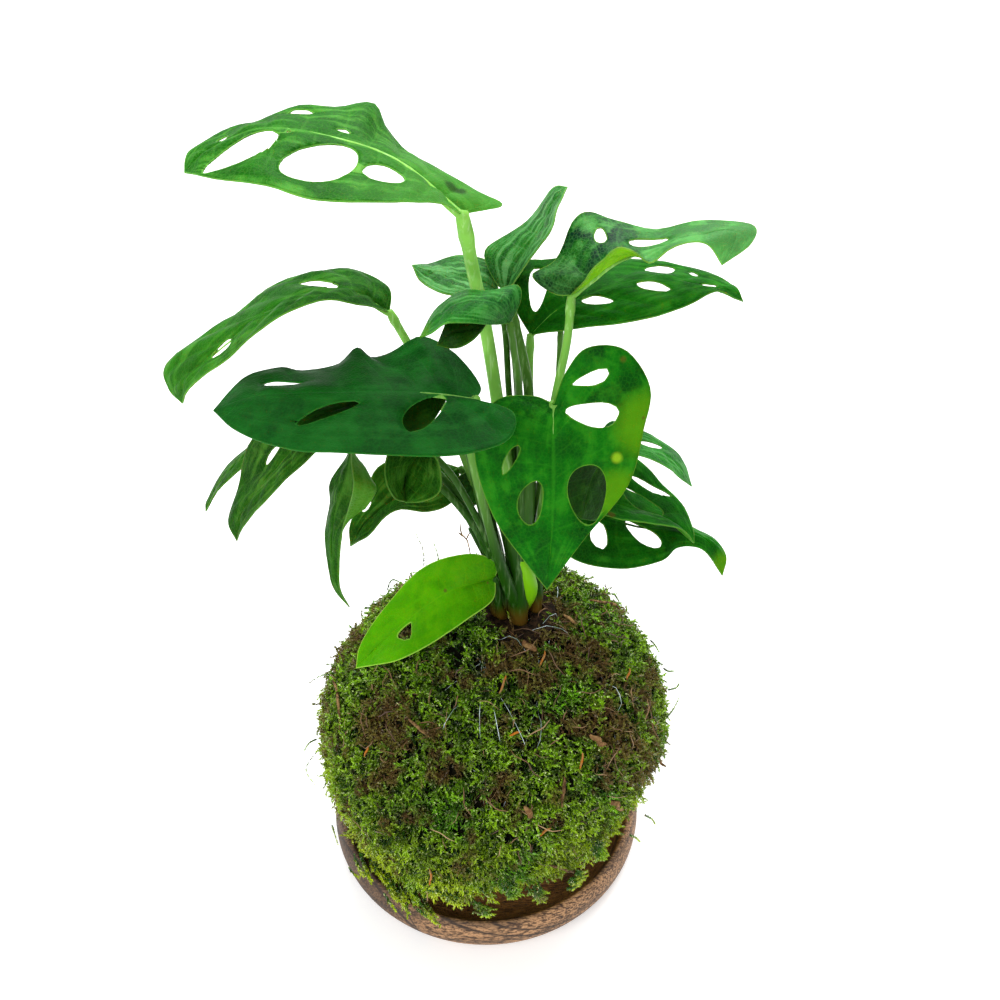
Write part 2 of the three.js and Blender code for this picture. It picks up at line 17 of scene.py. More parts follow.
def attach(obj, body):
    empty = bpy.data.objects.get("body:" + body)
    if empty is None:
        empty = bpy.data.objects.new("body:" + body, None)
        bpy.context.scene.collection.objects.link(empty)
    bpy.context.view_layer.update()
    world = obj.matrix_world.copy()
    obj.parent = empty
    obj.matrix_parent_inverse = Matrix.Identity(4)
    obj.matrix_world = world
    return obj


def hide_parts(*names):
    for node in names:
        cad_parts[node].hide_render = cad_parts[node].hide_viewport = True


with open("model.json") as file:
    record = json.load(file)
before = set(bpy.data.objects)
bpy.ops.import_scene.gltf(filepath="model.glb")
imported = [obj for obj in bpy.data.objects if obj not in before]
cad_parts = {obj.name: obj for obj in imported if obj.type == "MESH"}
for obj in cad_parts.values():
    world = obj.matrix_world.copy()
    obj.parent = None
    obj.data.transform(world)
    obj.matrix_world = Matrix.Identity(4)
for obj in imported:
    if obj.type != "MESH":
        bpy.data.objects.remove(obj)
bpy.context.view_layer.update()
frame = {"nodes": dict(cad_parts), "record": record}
MM = 0.001
NODE_SLOTS = {part["node"]: part["material_slot"] for part in frame["record"]["subparts"]}

# %% [markdown]
# The camera looks down on the plant at a steep angle, as a person standing at a table does. A normal lens close
# to the object gives the strong perspective in which the top leaf looks large. The camera comes first because
# every later choice is judged through it.

# %% Camera
CAMERA_PLACE = (0.0054, -0.2681, 0.4009)
CAMERA_LOOKS_DOWN = 41.0
CAMERA_LENS = 41.4

camera = bpy.data.objects.new("camera", bpy.data.cameras.new("camera"))
camera.data.lens = CAMERA_LENS
camera.data.sensor_width = 36.0
camera.data.clip_start = 0.01
camera.location = CAMERA_PLACE
camera.rotation_euler = (math.radians(90.0 - CAMERA_LOOKS_DOWN), 0.0, 0.0)
bpy.context.scene.collection.objects.link(camera)
bpy.context.scene.camera = camera
print("camera lens", CAMERA_LENS, "mm, looking down", CAMERA_LOOKS_DOWN, "degrees")

# %% [markdown]
# Studio light for a plant is large and soft: a bright sky of even white, one broad panel above and behind for the
# sheen on the leaves, and one from the front that opens the shadows in the moss. The floor is a plain pale
# sheet. Small hard lamps would be simpler, but they would cut the leaves with black shadows.


# %% Light and floor
def start_material(name, values):
    material = bpy.data.materials.new(name)
    material.use_nodes = True
    shader = material.node_tree.nodes["Principled BSDF"]
    for key, value in values.items():
        shader.inputs[key].default_value = value
    return material, material.node_tree, shader


def panel_light(name, place, aim, width, power):
    lamp = bpy.data.lights.new(name, "AREA")
    lamp.shape = "SQUARE"
    lamp.size = width
    lamp.energy = power
    panel = bpy.data.objects.new(name, lamp)
    panel.location = place
    panel.rotation_euler = (Vector(aim) - Vector(place)).to_track_quat("-Z", "Y").to_euler()
    bpy.context.scene.collection.objects.link(panel)


WHITE = (1.0, 1.0, 1.0, 1.0)
MIDDLE = (0.0, 0.0, 0.14)

world = bpy.data.worlds.new("soft sky")
world.use_nodes = True
world.node_tree.nodes["Background"].inputs["Color"].default_value = WHITE
world.node_tree.nodes["Background"].inputs["Strength"].default_value = 0.75
bpy.context.scene.world = world
bpy.context.scene.view_settings.view_transform = "Standard"

panel_light("panel_above", (0.15, 0.55, 1.05), MIDDLE, 0.9, 16.0)
panel_light("panel_front", (-0.5, -0.75, 0.8), MIDDLE, 0.7, 7.0)

mesh = bpy.data.meshes.new("floor")
bm = bmesh.new()
bmesh.ops.create_grid(bm, x_segments=1, y_segments=1, size=3.0)
bm.to_mesh(mesh)
bm.free()
floor = bpy.data.objects.new("floor", mesh)
bpy.context.scene.collection.objects.link(floor)
floor.data.materials.append(start_material("pale floor", {
    "Base Color": (0.9, 0.9, 0.9, 1.0), "Roughness": 0.6, "Emission Color": WHITE, "Emission Strength": 0.28})[0])
print("sky, two panels and a floor")

# %% [markdown]
# Every finish below is drawn with nodes. These helpers make one node each and join it up, so that a material
# reads like a short recipe: a value that is a socket is linked, and any other value is typed in.


# %% Node helpers
def feed(tree, socket, value):
    if isinstance(value, bpy.types.NodeSocket):
        tree.links.new(value, socket)
    else:
        socket.default_value = value


def calc(tree, operation, *values):
    node = tree.nodes.new("ShaderNodeMath")
    node.operation = operation
    for socket, value in zip(node.inputs, values):
        feed(tree, socket, value)
    return node.outputs[0]


def ease(tree, value, low, high):
    node = tree.nodes.new("ShaderNodeMapRange")
    node.interpolation_type = "SMOOTHSTEP"
    for socket, entry in zip(node.inputs, (value, low, high, 0.0, 1.0)):
        feed(tree, socket, entry)
    return node.outputs[0]


def fall(tree, value, low, high):
    return calc(tree, "SUBTRACT", 1.0, ease(tree, value, low, high))


def mix(tree, factor, first, second):
    node = tree.nodes.new("ShaderNodeMix")
    node.data_type = "RGBA"
    feed(tree, node.inputs[0], factor)
    feed(tree, node.inputs[6], first)
    feed(tree, node.inputs[7], second)
    return node.outputs[2]


def tint(tree, amount, share, colour, second):
    return mix(tree, calc(tree, "MULTIPLY", amount, share), colour, second)


def reading(tree, name):
    node = tree.nodes.new("ShaderNodeAttribute")
    node.attribute_name = name
    return node.outputs["Fac"]


def place(tree, scale=(1.0, 1.0, 1.0), turn=(0.0, 0.0, 0.0)):
    node = tree.nodes.new("ShaderNodeMapping")
    node.inputs["Scale"].default_value = scale
    node.inputs["Rotation"].default_value = turn
    tree.links.new(tree.nodes.new("ShaderNodeTexCoord").outputs["Object"], node.inputs["Vector"])
    return node.outputs[0]


def cloud(tree, vector, scale, detail=3.0, roughness=0.55, distortion=0.0):
    node = tree.nodes.new("ShaderNodeTexNoise")
    tree.links.new(vector, node.inputs["Vector"])
    node.inputs["Scale"].default_value = scale
    node.inputs["Detail"].default_value = detail
    node.inputs["Roughness"].default_value = roughness
    node.inputs["Distortion"].default_value = distortion
    return node.outputs["Fac"]


def bump(tree, height, strength, distance):
    node = tree.nodes.new("ShaderNodeBump")
    node.inputs["Strength"].default_value = strength
    node.inputs["Distance"].default_value = distance
    tree.links.new(height, node.inputs["Height"])
    return node.outputs["Normal"]


def group_tree(name, inputs, outputs):
    tree = bpy.data.node_groups.new(name, "ShaderNodeTree")
    kinds = {"value": "NodeSocketFloat", "colour": "NodeSocketColor"}
    for socket_name, kind in inputs:
        tree.interface.new_socket(name=socket_name, in_out="INPUT", socket_type=kinds[kind])
    for socket_name, kind in outputs:
        tree.interface.new_socket(name=socket_name, in_out="OUTPUT", socket_type=kinds[kind])
    return tree, tree.nodes.new("NodeGroupInput").outputs, tree.nodes.new("NodeGroupOutput").inputs


def use_group(tree, group, values):
    node = tree.nodes.new("ShaderNodeGroup")
    node.node_tree = group
    for name, value in values.items():
        feed(tree, node.inputs[name], value)
    return node.outputs


def srgb(code):
    steps = [int(code[i:i + 2], 16) / 255.0 for i in (0, 2, 4)]
    return [s / 12.92 if s <= 0.04045 else ((s + 0.055) / 1.055) ** 2.4 for s in steps] + [1.0]


def finish_object(name, bm, materials, node_names):
    bmesh.ops.scale(bm, vec=(MM, MM, MM), verts=bm.verts)
    mesh = bpy.data.meshes.new(name)
    bm.to_mesh(mesh)
    bm.free()
    for polygon in mesh.polygons:
        polygon.use_smooth = True
    return place_object(name, mesh, materials, node_names)


def place_object(name, mesh, materials, node_names):
    piece = bpy.data.objects.new(name, mesh)
    bpy.context.scene.collection.objects.link(piece)
    for material in materials:
        mesh.materials.append(material)
    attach(piece, "root")
    if node_names:
        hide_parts(*node_names)
    print(name, len(mesh.polygons), "faces")
    return piece


print("helpers ready")

# %% [markdown]
# The skin of a leaf is one effect in many strengths: a pale midrib, side veins that lean to the tip, a net of
# fine veins between them, stripes along the blade, cloudy patches of deeper green and a thin pale line at the
# margin and round each hole. It also paints light and shade: each leaf is darkened or lightened near its petiole
# and near its tip by its own amount, as the light falls on it. Painting would need an image, so the pattern is
# worked out from three readings that each leaf's mesh carries: along (0 at the petiole, 1 at the tip), across
# (-1 and 1 at the margins) and edge (millimetres to the nearest edge). It is one node group, placed in every
# leaf's material with its own colours.

# %% Leaf skin
VEIN_LEAN = 0.07
VEIN_SHIFT = 0.4
SIDE_VEIN_STRENGTH = 0.5

leaf_skin, given, put = group_tree(
    "leaf skin",
    [("Blade", "colour"), ("Patch", "colour"), ("Vein", "colour"), ("Margin", "colour"), ("Veins", "value"),
     ("Patchiness", "value"), ("Stripes", "value"), ("Stalk shade", "value"), ("Tip shade", "value")],
    [("Colour", "colour"), ("Roughness", "value"), ("Height", "value")])
along = reading(leaf_skin, "along")
across = reading(leaf_skin, "across")
reach = calc(leaf_skin, "ABSOLUTE", across)
lean = calc(leaf_skin, "MULTIPLY", calc(leaf_skin, "POWER", reach, 2.0), VEIN_LEAN)
phase = calc(leaf_skin, "MULTIPLY", calc(leaf_skin, "SUBTRACT", along, lean), given["Veins"])
shift = calc(leaf_skin, "MULTIPLY", calc(leaf_skin, "LESS_THAN", across, 0.0), VEIN_SHIFT)
turned = calc(leaf_skin, "FRACT", calc(leaf_skin, "ADD", phase, shift))
off_vein = calc(leaf_skin, "ABSOLUTE", calc(leaf_skin, "SUBTRACT", turned, 0.5))
side_vein = fall(leaf_skin, off_vein, 0.012, 0.07)
side_vein = calc(leaf_skin, "MULTIPLY", side_vein, fall(leaf_skin, reach, 0.5, 0.95))
midrib = fall(leaf_skin, reach, 0.008, 0.035)
veins = calc(leaf_skin, "MAXIMUM", calc(leaf_skin, "MULTIPLY", side_vein, SIDE_VEIN_STRENGTH), midrib)
here = place(leaf_skin)
patches = ease(leaf_skin, cloud(leaf_skin, here, 70.0, 4.0, 0.6, 0.6), 0.42, 0.68)
patches = calc(leaf_skin, "MULTIPLY", patches, given["Patchiness"])
net = leaf_skin.nodes.new("ShaderNodeTexVoronoi")
net.feature = "DISTANCE_TO_EDGE"
net.inputs["Scale"].default_value = 900.0
leaf_skin.links.new(here, net.inputs["Vector"])
cells = ease(leaf_skin, net.outputs["Distance"], 0.0, 0.16)
colour = mix(leaf_skin, patches, given["Blade"], given["Patch"])
blotch = calc(leaf_skin, "SUBTRACT", ease(leaf_skin, cloud(leaf_skin, here, 150.0, 4.0, 0.6), 0.34, 0.66), 0.5)
lanes = leaf_skin.nodes.new("ShaderNodeCombineXYZ")
for socket, value in zip(lanes.inputs, (calc(leaf_skin, "MULTIPLY", across, 7.5),
                                        calc(leaf_skin, "MULTIPLY", along, 2.2), given["Veins"])):
    feed(leaf_skin, socket, value)
stripes = calc(leaf_skin, "SUBTRACT", ease(leaf_skin, cloud(leaf_skin, lanes.outputs[0], 1.0, 3.0), 0.36, 0.64), 0.5)
blotch = calc(leaf_skin, "ADD", calc(leaf_skin, "MULTIPLY", blotch, given["Patchiness"]),
              calc(leaf_skin, "MULTIPLY", stripes, given["Stripes"]))
blotch_colour = mix(leaf_skin, calc(leaf_skin, "GREATER_THAN", blotch, 0.0), given["Patch"], given["Vein"])
colour = tint(leaf_skin, calc(leaf_skin, "ABSOLUTE", blotch), 0.8, colour, blotch_colour)
# Painted shade and light: a positive stalk or tip shade darkens the blade there nearly to black, a negative one
# lightens it towards the Vein colour.
near_stalk = fall(leaf_skin, along, 0.05, 0.55)
near_tip = ease(leaf_skin, along, 0.45, 0.95)
shade = calc(leaf_skin, "ADD", calc(leaf_skin, "MULTIPLY", near_stalk, given["Stalk shade"]),
             calc(leaf_skin, "MULTIPLY", near_tip, given["Tip shade"]))
colour = mix(leaf_skin, calc(leaf_skin, "MAXIMUM", shade, 0.0), colour, (0.0, 0.012, 0.0, 1.0))
colour = mix(leaf_skin, calc(leaf_skin, "MAXIMUM", calc(leaf_skin, "MULTIPLY", shade, -1.0), 0.0), colour,
             given["Vein"])
net_lines = calc(leaf_skin, "SUBTRACT", 1.0, cells)
colour = tint(leaf_skin, net_lines, 0.16, colour, given["Vein"])
colour = tint(leaf_skin, veins, 0.35, colour, given["Vein"])
rim = fall(leaf_skin, reading(leaf_skin, "edge"), 0.05, 0.4)
colour = tint(leaf_skin, rim, 0.45, colour, given["Margin"])
feed(leaf_skin, put["Colour"], colour)
gloss = cloud(leaf_skin, here, 220.0, 3.0)
feed(leaf_skin, put["Roughness"], calc(leaf_skin, "ADD", calc(leaf_skin, "MULTIPLY", gloss, 0.3), 0.28))
fine = calc(leaf_skin, "ADD", calc(leaf_skin, "MULTIPLY", cells, 0.35), calc(leaf_skin, "MULTIPLY", veins, -0.65))
feed(leaf_skin, put["Height"], fine)
print("leaf skin group:", len(leaf_skin.nodes), "nodes")

# %% [markdown]
# The plant carries leaves of several ages. Young ones are lime, grown ones fresh green, and the oldest a deep
# bluish green, each with its own underside, which is paler and more yellow. Three sets paint light and shade
# instead: the shaded set is darker, painted shade for leaves in the shade of the bush; the sheen set paints a
# bluish sheen into the blade; the last set is nearly black, painted shade for the dark sheets seen through the
# holes. Old leaves also get spots: brown where the skin died, pale where sap dried, yellow round a bruise, and two
# dark spots near the foot of the top leaf paint the shade in a cupped fold. Each spot is a soft ball in space that
# tints the skin it meets, so it stays sharp however coarse the mesh is.

# %% Leaf materials
LEAF_AGES = {
    "top": {"blade": "166004", "patch": "0E4A04", "vein": "529C34", "margin": "7CC452", "patchiness": 0.7,
            "under": "5FA01E", "gloss": 0.04, "stripes": 0.9, "stalk_tip_shading": (-0.45, 0.0)},
    "fresh": {"blade": "1E640A", "patch": "0E4208", "vein": "4A8E2C", "margin": "7CBC48", "patchiness": 0.8,
              "under": "4C8E1A", "gloss": 0.02, "stripes": 0.9, "stalk_tip_shading": (0.6, -0.15)},
    "striped": {"blade": "227018", "patch": "0C4410", "vein": "62A45E", "margin": "84BE52", "patchiness": 0.5,
                "under": "4C8E1A", "gloss": 0.08, "stripes": 1.7, "stalk_tip_shading": (0.35, 0.0)},
    # Painted shade: the shaded set is darker because these leaves lie in the shade of the bush.
    "shaded": {"blade": "1E5408", "patch": "0E3406", "vein": "467A26", "margin": "62963A", "patchiness": 0.8,
               "under": "3A6E14", "gloss": 0.02, "stripes": 1.2, "stalk_tip_shading": (0.4, 0.0)},
    # Painted sheen: the colours of the sheen set paint a bluish sheen into the blade.
    "sheen": {"blade": "1E7016", "patch": "0A401A", "vein": "4E9C48", "margin": "5CA034", "patchiness": 0.7,
              "under": "3E7E1C", "gloss": 0.06, "stripes": 1.2, "stalk_tip_shading": (0.5, -0.15)},
    "heart": {"blade": "0C6009", "patch": "063E08", "vein": "2E8616", "margin": "70AE36", "patchiness": 1.0,
              "under": "3E7E1C", "gloss": 0.03, "stripes": 0.5, "stalk_tip_shading": (0.0, 0.0)},
    "mid": {"blade": "105C08", "patch": "083C06", "vein": "2E7E1A", "margin": "64A23C", "patchiness": 0.9,
            "under": "3E7E1C", "gloss": 0.02, "stripes": 0.9, "stalk_tip_shading": (0.3, 0.0)},
    "deep": {"blade": "0C4C10", "patch": "07360D", "vein": "1C6420", "margin": "2E7A28", "patchiness": 0.8,
             "under": "2E6A1C", "gloss": 0.03, "stripes": 0.5, "stalk_tip_shading": (0.0, -0.1)},
    "mottled": {"blade": "166210", "patch": "052A1C", "vein": "5AA650", "margin": "84C038", "patchiness": 1.5,
                "under": "6FB20E", "gloss": 0.07, "stripes": 0.6, "stalk_tip_shading": (0.72, -0.55)},
    "lime": {"blade": "469400", "patch": "2E7400", "vein": "5E9E04", "margin": "B4E05A", "patchiness": 0.7,
             "under": "6DA818", "gloss": 0.03, "stripes": 0.2, "stalk_tip_shading": (0.5, -0.1)},
    # Painted shade: this nearly black set colours the dark sheets seen through the holes.
    "inner_shade": {"blade": "123C06", "patch": "0A2804", "vein": "2C5A12", "margin": "3E7A1C", "patchiness": 1.0,
              "under": "12380A", "gloss": 0.05, "stripes": 0.5, "stalk_tip_shading": (0.0, 0.0)},
}
SPOT_COLOURS = {"brown": "4E4416", "pale": "A8C88A", "bruise": "8CB820", "cup_shade": "16300A", "yellow": "4E8C08"}
LEAF_SPOTS = {
    "leaf_front_heart": [("yellow", 11.0, (46, -14, 208)), ("yellow", 8.0, (38, -25, 192)),
                         ("brown", 1.3, (38.7, -6.9, 224.6)), ("pale", 0.6, (40.7, -12.4, 214.1)),
                         ("brown", 0.8, (44.7, -14.1, 210.2)), ("bruise", 1.9, (37.6, -20.2, 201.0)),
                         ("brown", 0.7, (37.6, -20.2, 201.0)), ("pale", 0.4, (20.8, -31.7, 174.8))],
    "leaf_low_bright": [("brown", 0.8, (-12.3, -5.2, 133.3)), ("brown", 0.6, (1.5, -5.9, 137.6)),
                        ("brown", 0.5, (0.1, -8.0, 135.9)), ("brown", 0.5, (-2.7, -10.6, 133.9))],
    "leaf_right_slotted": [("brown", 1.5, (40.6, 2.5, 159.4))],
    # Painted shade: two dark spots near the foot of the top leaf, the shade in a cupped fold.
    "leaf_top": [("cup_shade", 2.4, (-7.1, -0.2, 271.4)), ("cup_shade", 1.8, (-4.5, -0.2, 270.4))],
    "leaf_right_low": [("yellow", 8.0, (81, 11, 127))],
    "leaf_small_arching": [("yellow", 5.0, (-15, -20, 240))],
}


def leaf_material(name, colours, veins, patchiness, stripes, gloss, stalk_tip_shading, spots):
    material, tree, shader = start_material(name, {
        "Specular IOR Level": gloss, "Subsurface Weight": 0.12, "Subsurface Scale": 0.002})
    values = {key: srgb(code) for key, code in zip(("Blade", "Patch", "Vein", "Margin"), colours)}
    values |= {"Veins": veins, "Patchiness": patchiness, "Stripes": stripes, "Stalk shade": stalk_tip_shading[0],
               "Tip shade": stalk_tip_shading[1]}
    skin = use_group(tree, leaf_skin, values)
    colour, here = skin["Colour"], place(tree)
    for kind, radius, centre in spots:
        away = tree.nodes.new("ShaderNodeVectorMath")
        away.operation = "DISTANCE"
        tree.links.new(here, away.inputs[0])
        away.inputs[1].default_value = [c * MM for c in centre]
        near = fall(tree, away.outputs["Value"], 0.45 * radius * MM, 1.15 * radius * MM)
        colour = tint(tree, near, 0.75, colour, srgb(SPOT_COLOURS[kind]))
    tree.links.new(colour, shader.inputs["Base Color"])
    tree.links.new(skin["Roughness"], shader.inputs["Roughness"])
    tree.links.new(bump(tree, skin["Height"], 0.5, 0.0003), shader.inputs["Normal"])
    return material


def leaf_materials(name, age, veins):
    look = LEAF_AGES[age]
    upper = leaf_material(f"{name} {age}", [look[key] for key in ("blade", "patch", "vein", "margin")], veins,
                          look["patchiness"], look["stripes"], look["gloss"], look["stalk_tip_shading"],
                          LEAF_SPOTS.get(name, ()))
    lower = leaf_material(f"{name} underside", [look[key] for key in ("under", "blade", "margin", "margin")], veins,
                          0.3, 0.4, 0.05, (0.0, 0.0), ())
    return upper, lower


print(len(LEAF_AGES), "ages of leaf,", sum(len(spots) for spots in LEAF_SPOTS.values()), "spots")

# %% [markdown]
# A blade hangs between three lines: the midrib and the two margins, all from the petiole to the tip. The routes
# below are those lines, in millimetres, with the number of side veins, how high the blade swells between them and
# the holes this kind of plant makes. Each hole gives its side, its place along and across the half blade, half
# its length and half its width, how far it turns from the side vein towards the tip, and for some how much wider
# its far end is. The last four are dark sheets shaped as small leaves deep in the bush: painted shade, seen
# through the holes and between the big ones. Free sculpting would give the same shapes once; lines and numbers
# can be corrected one leaf at a time.

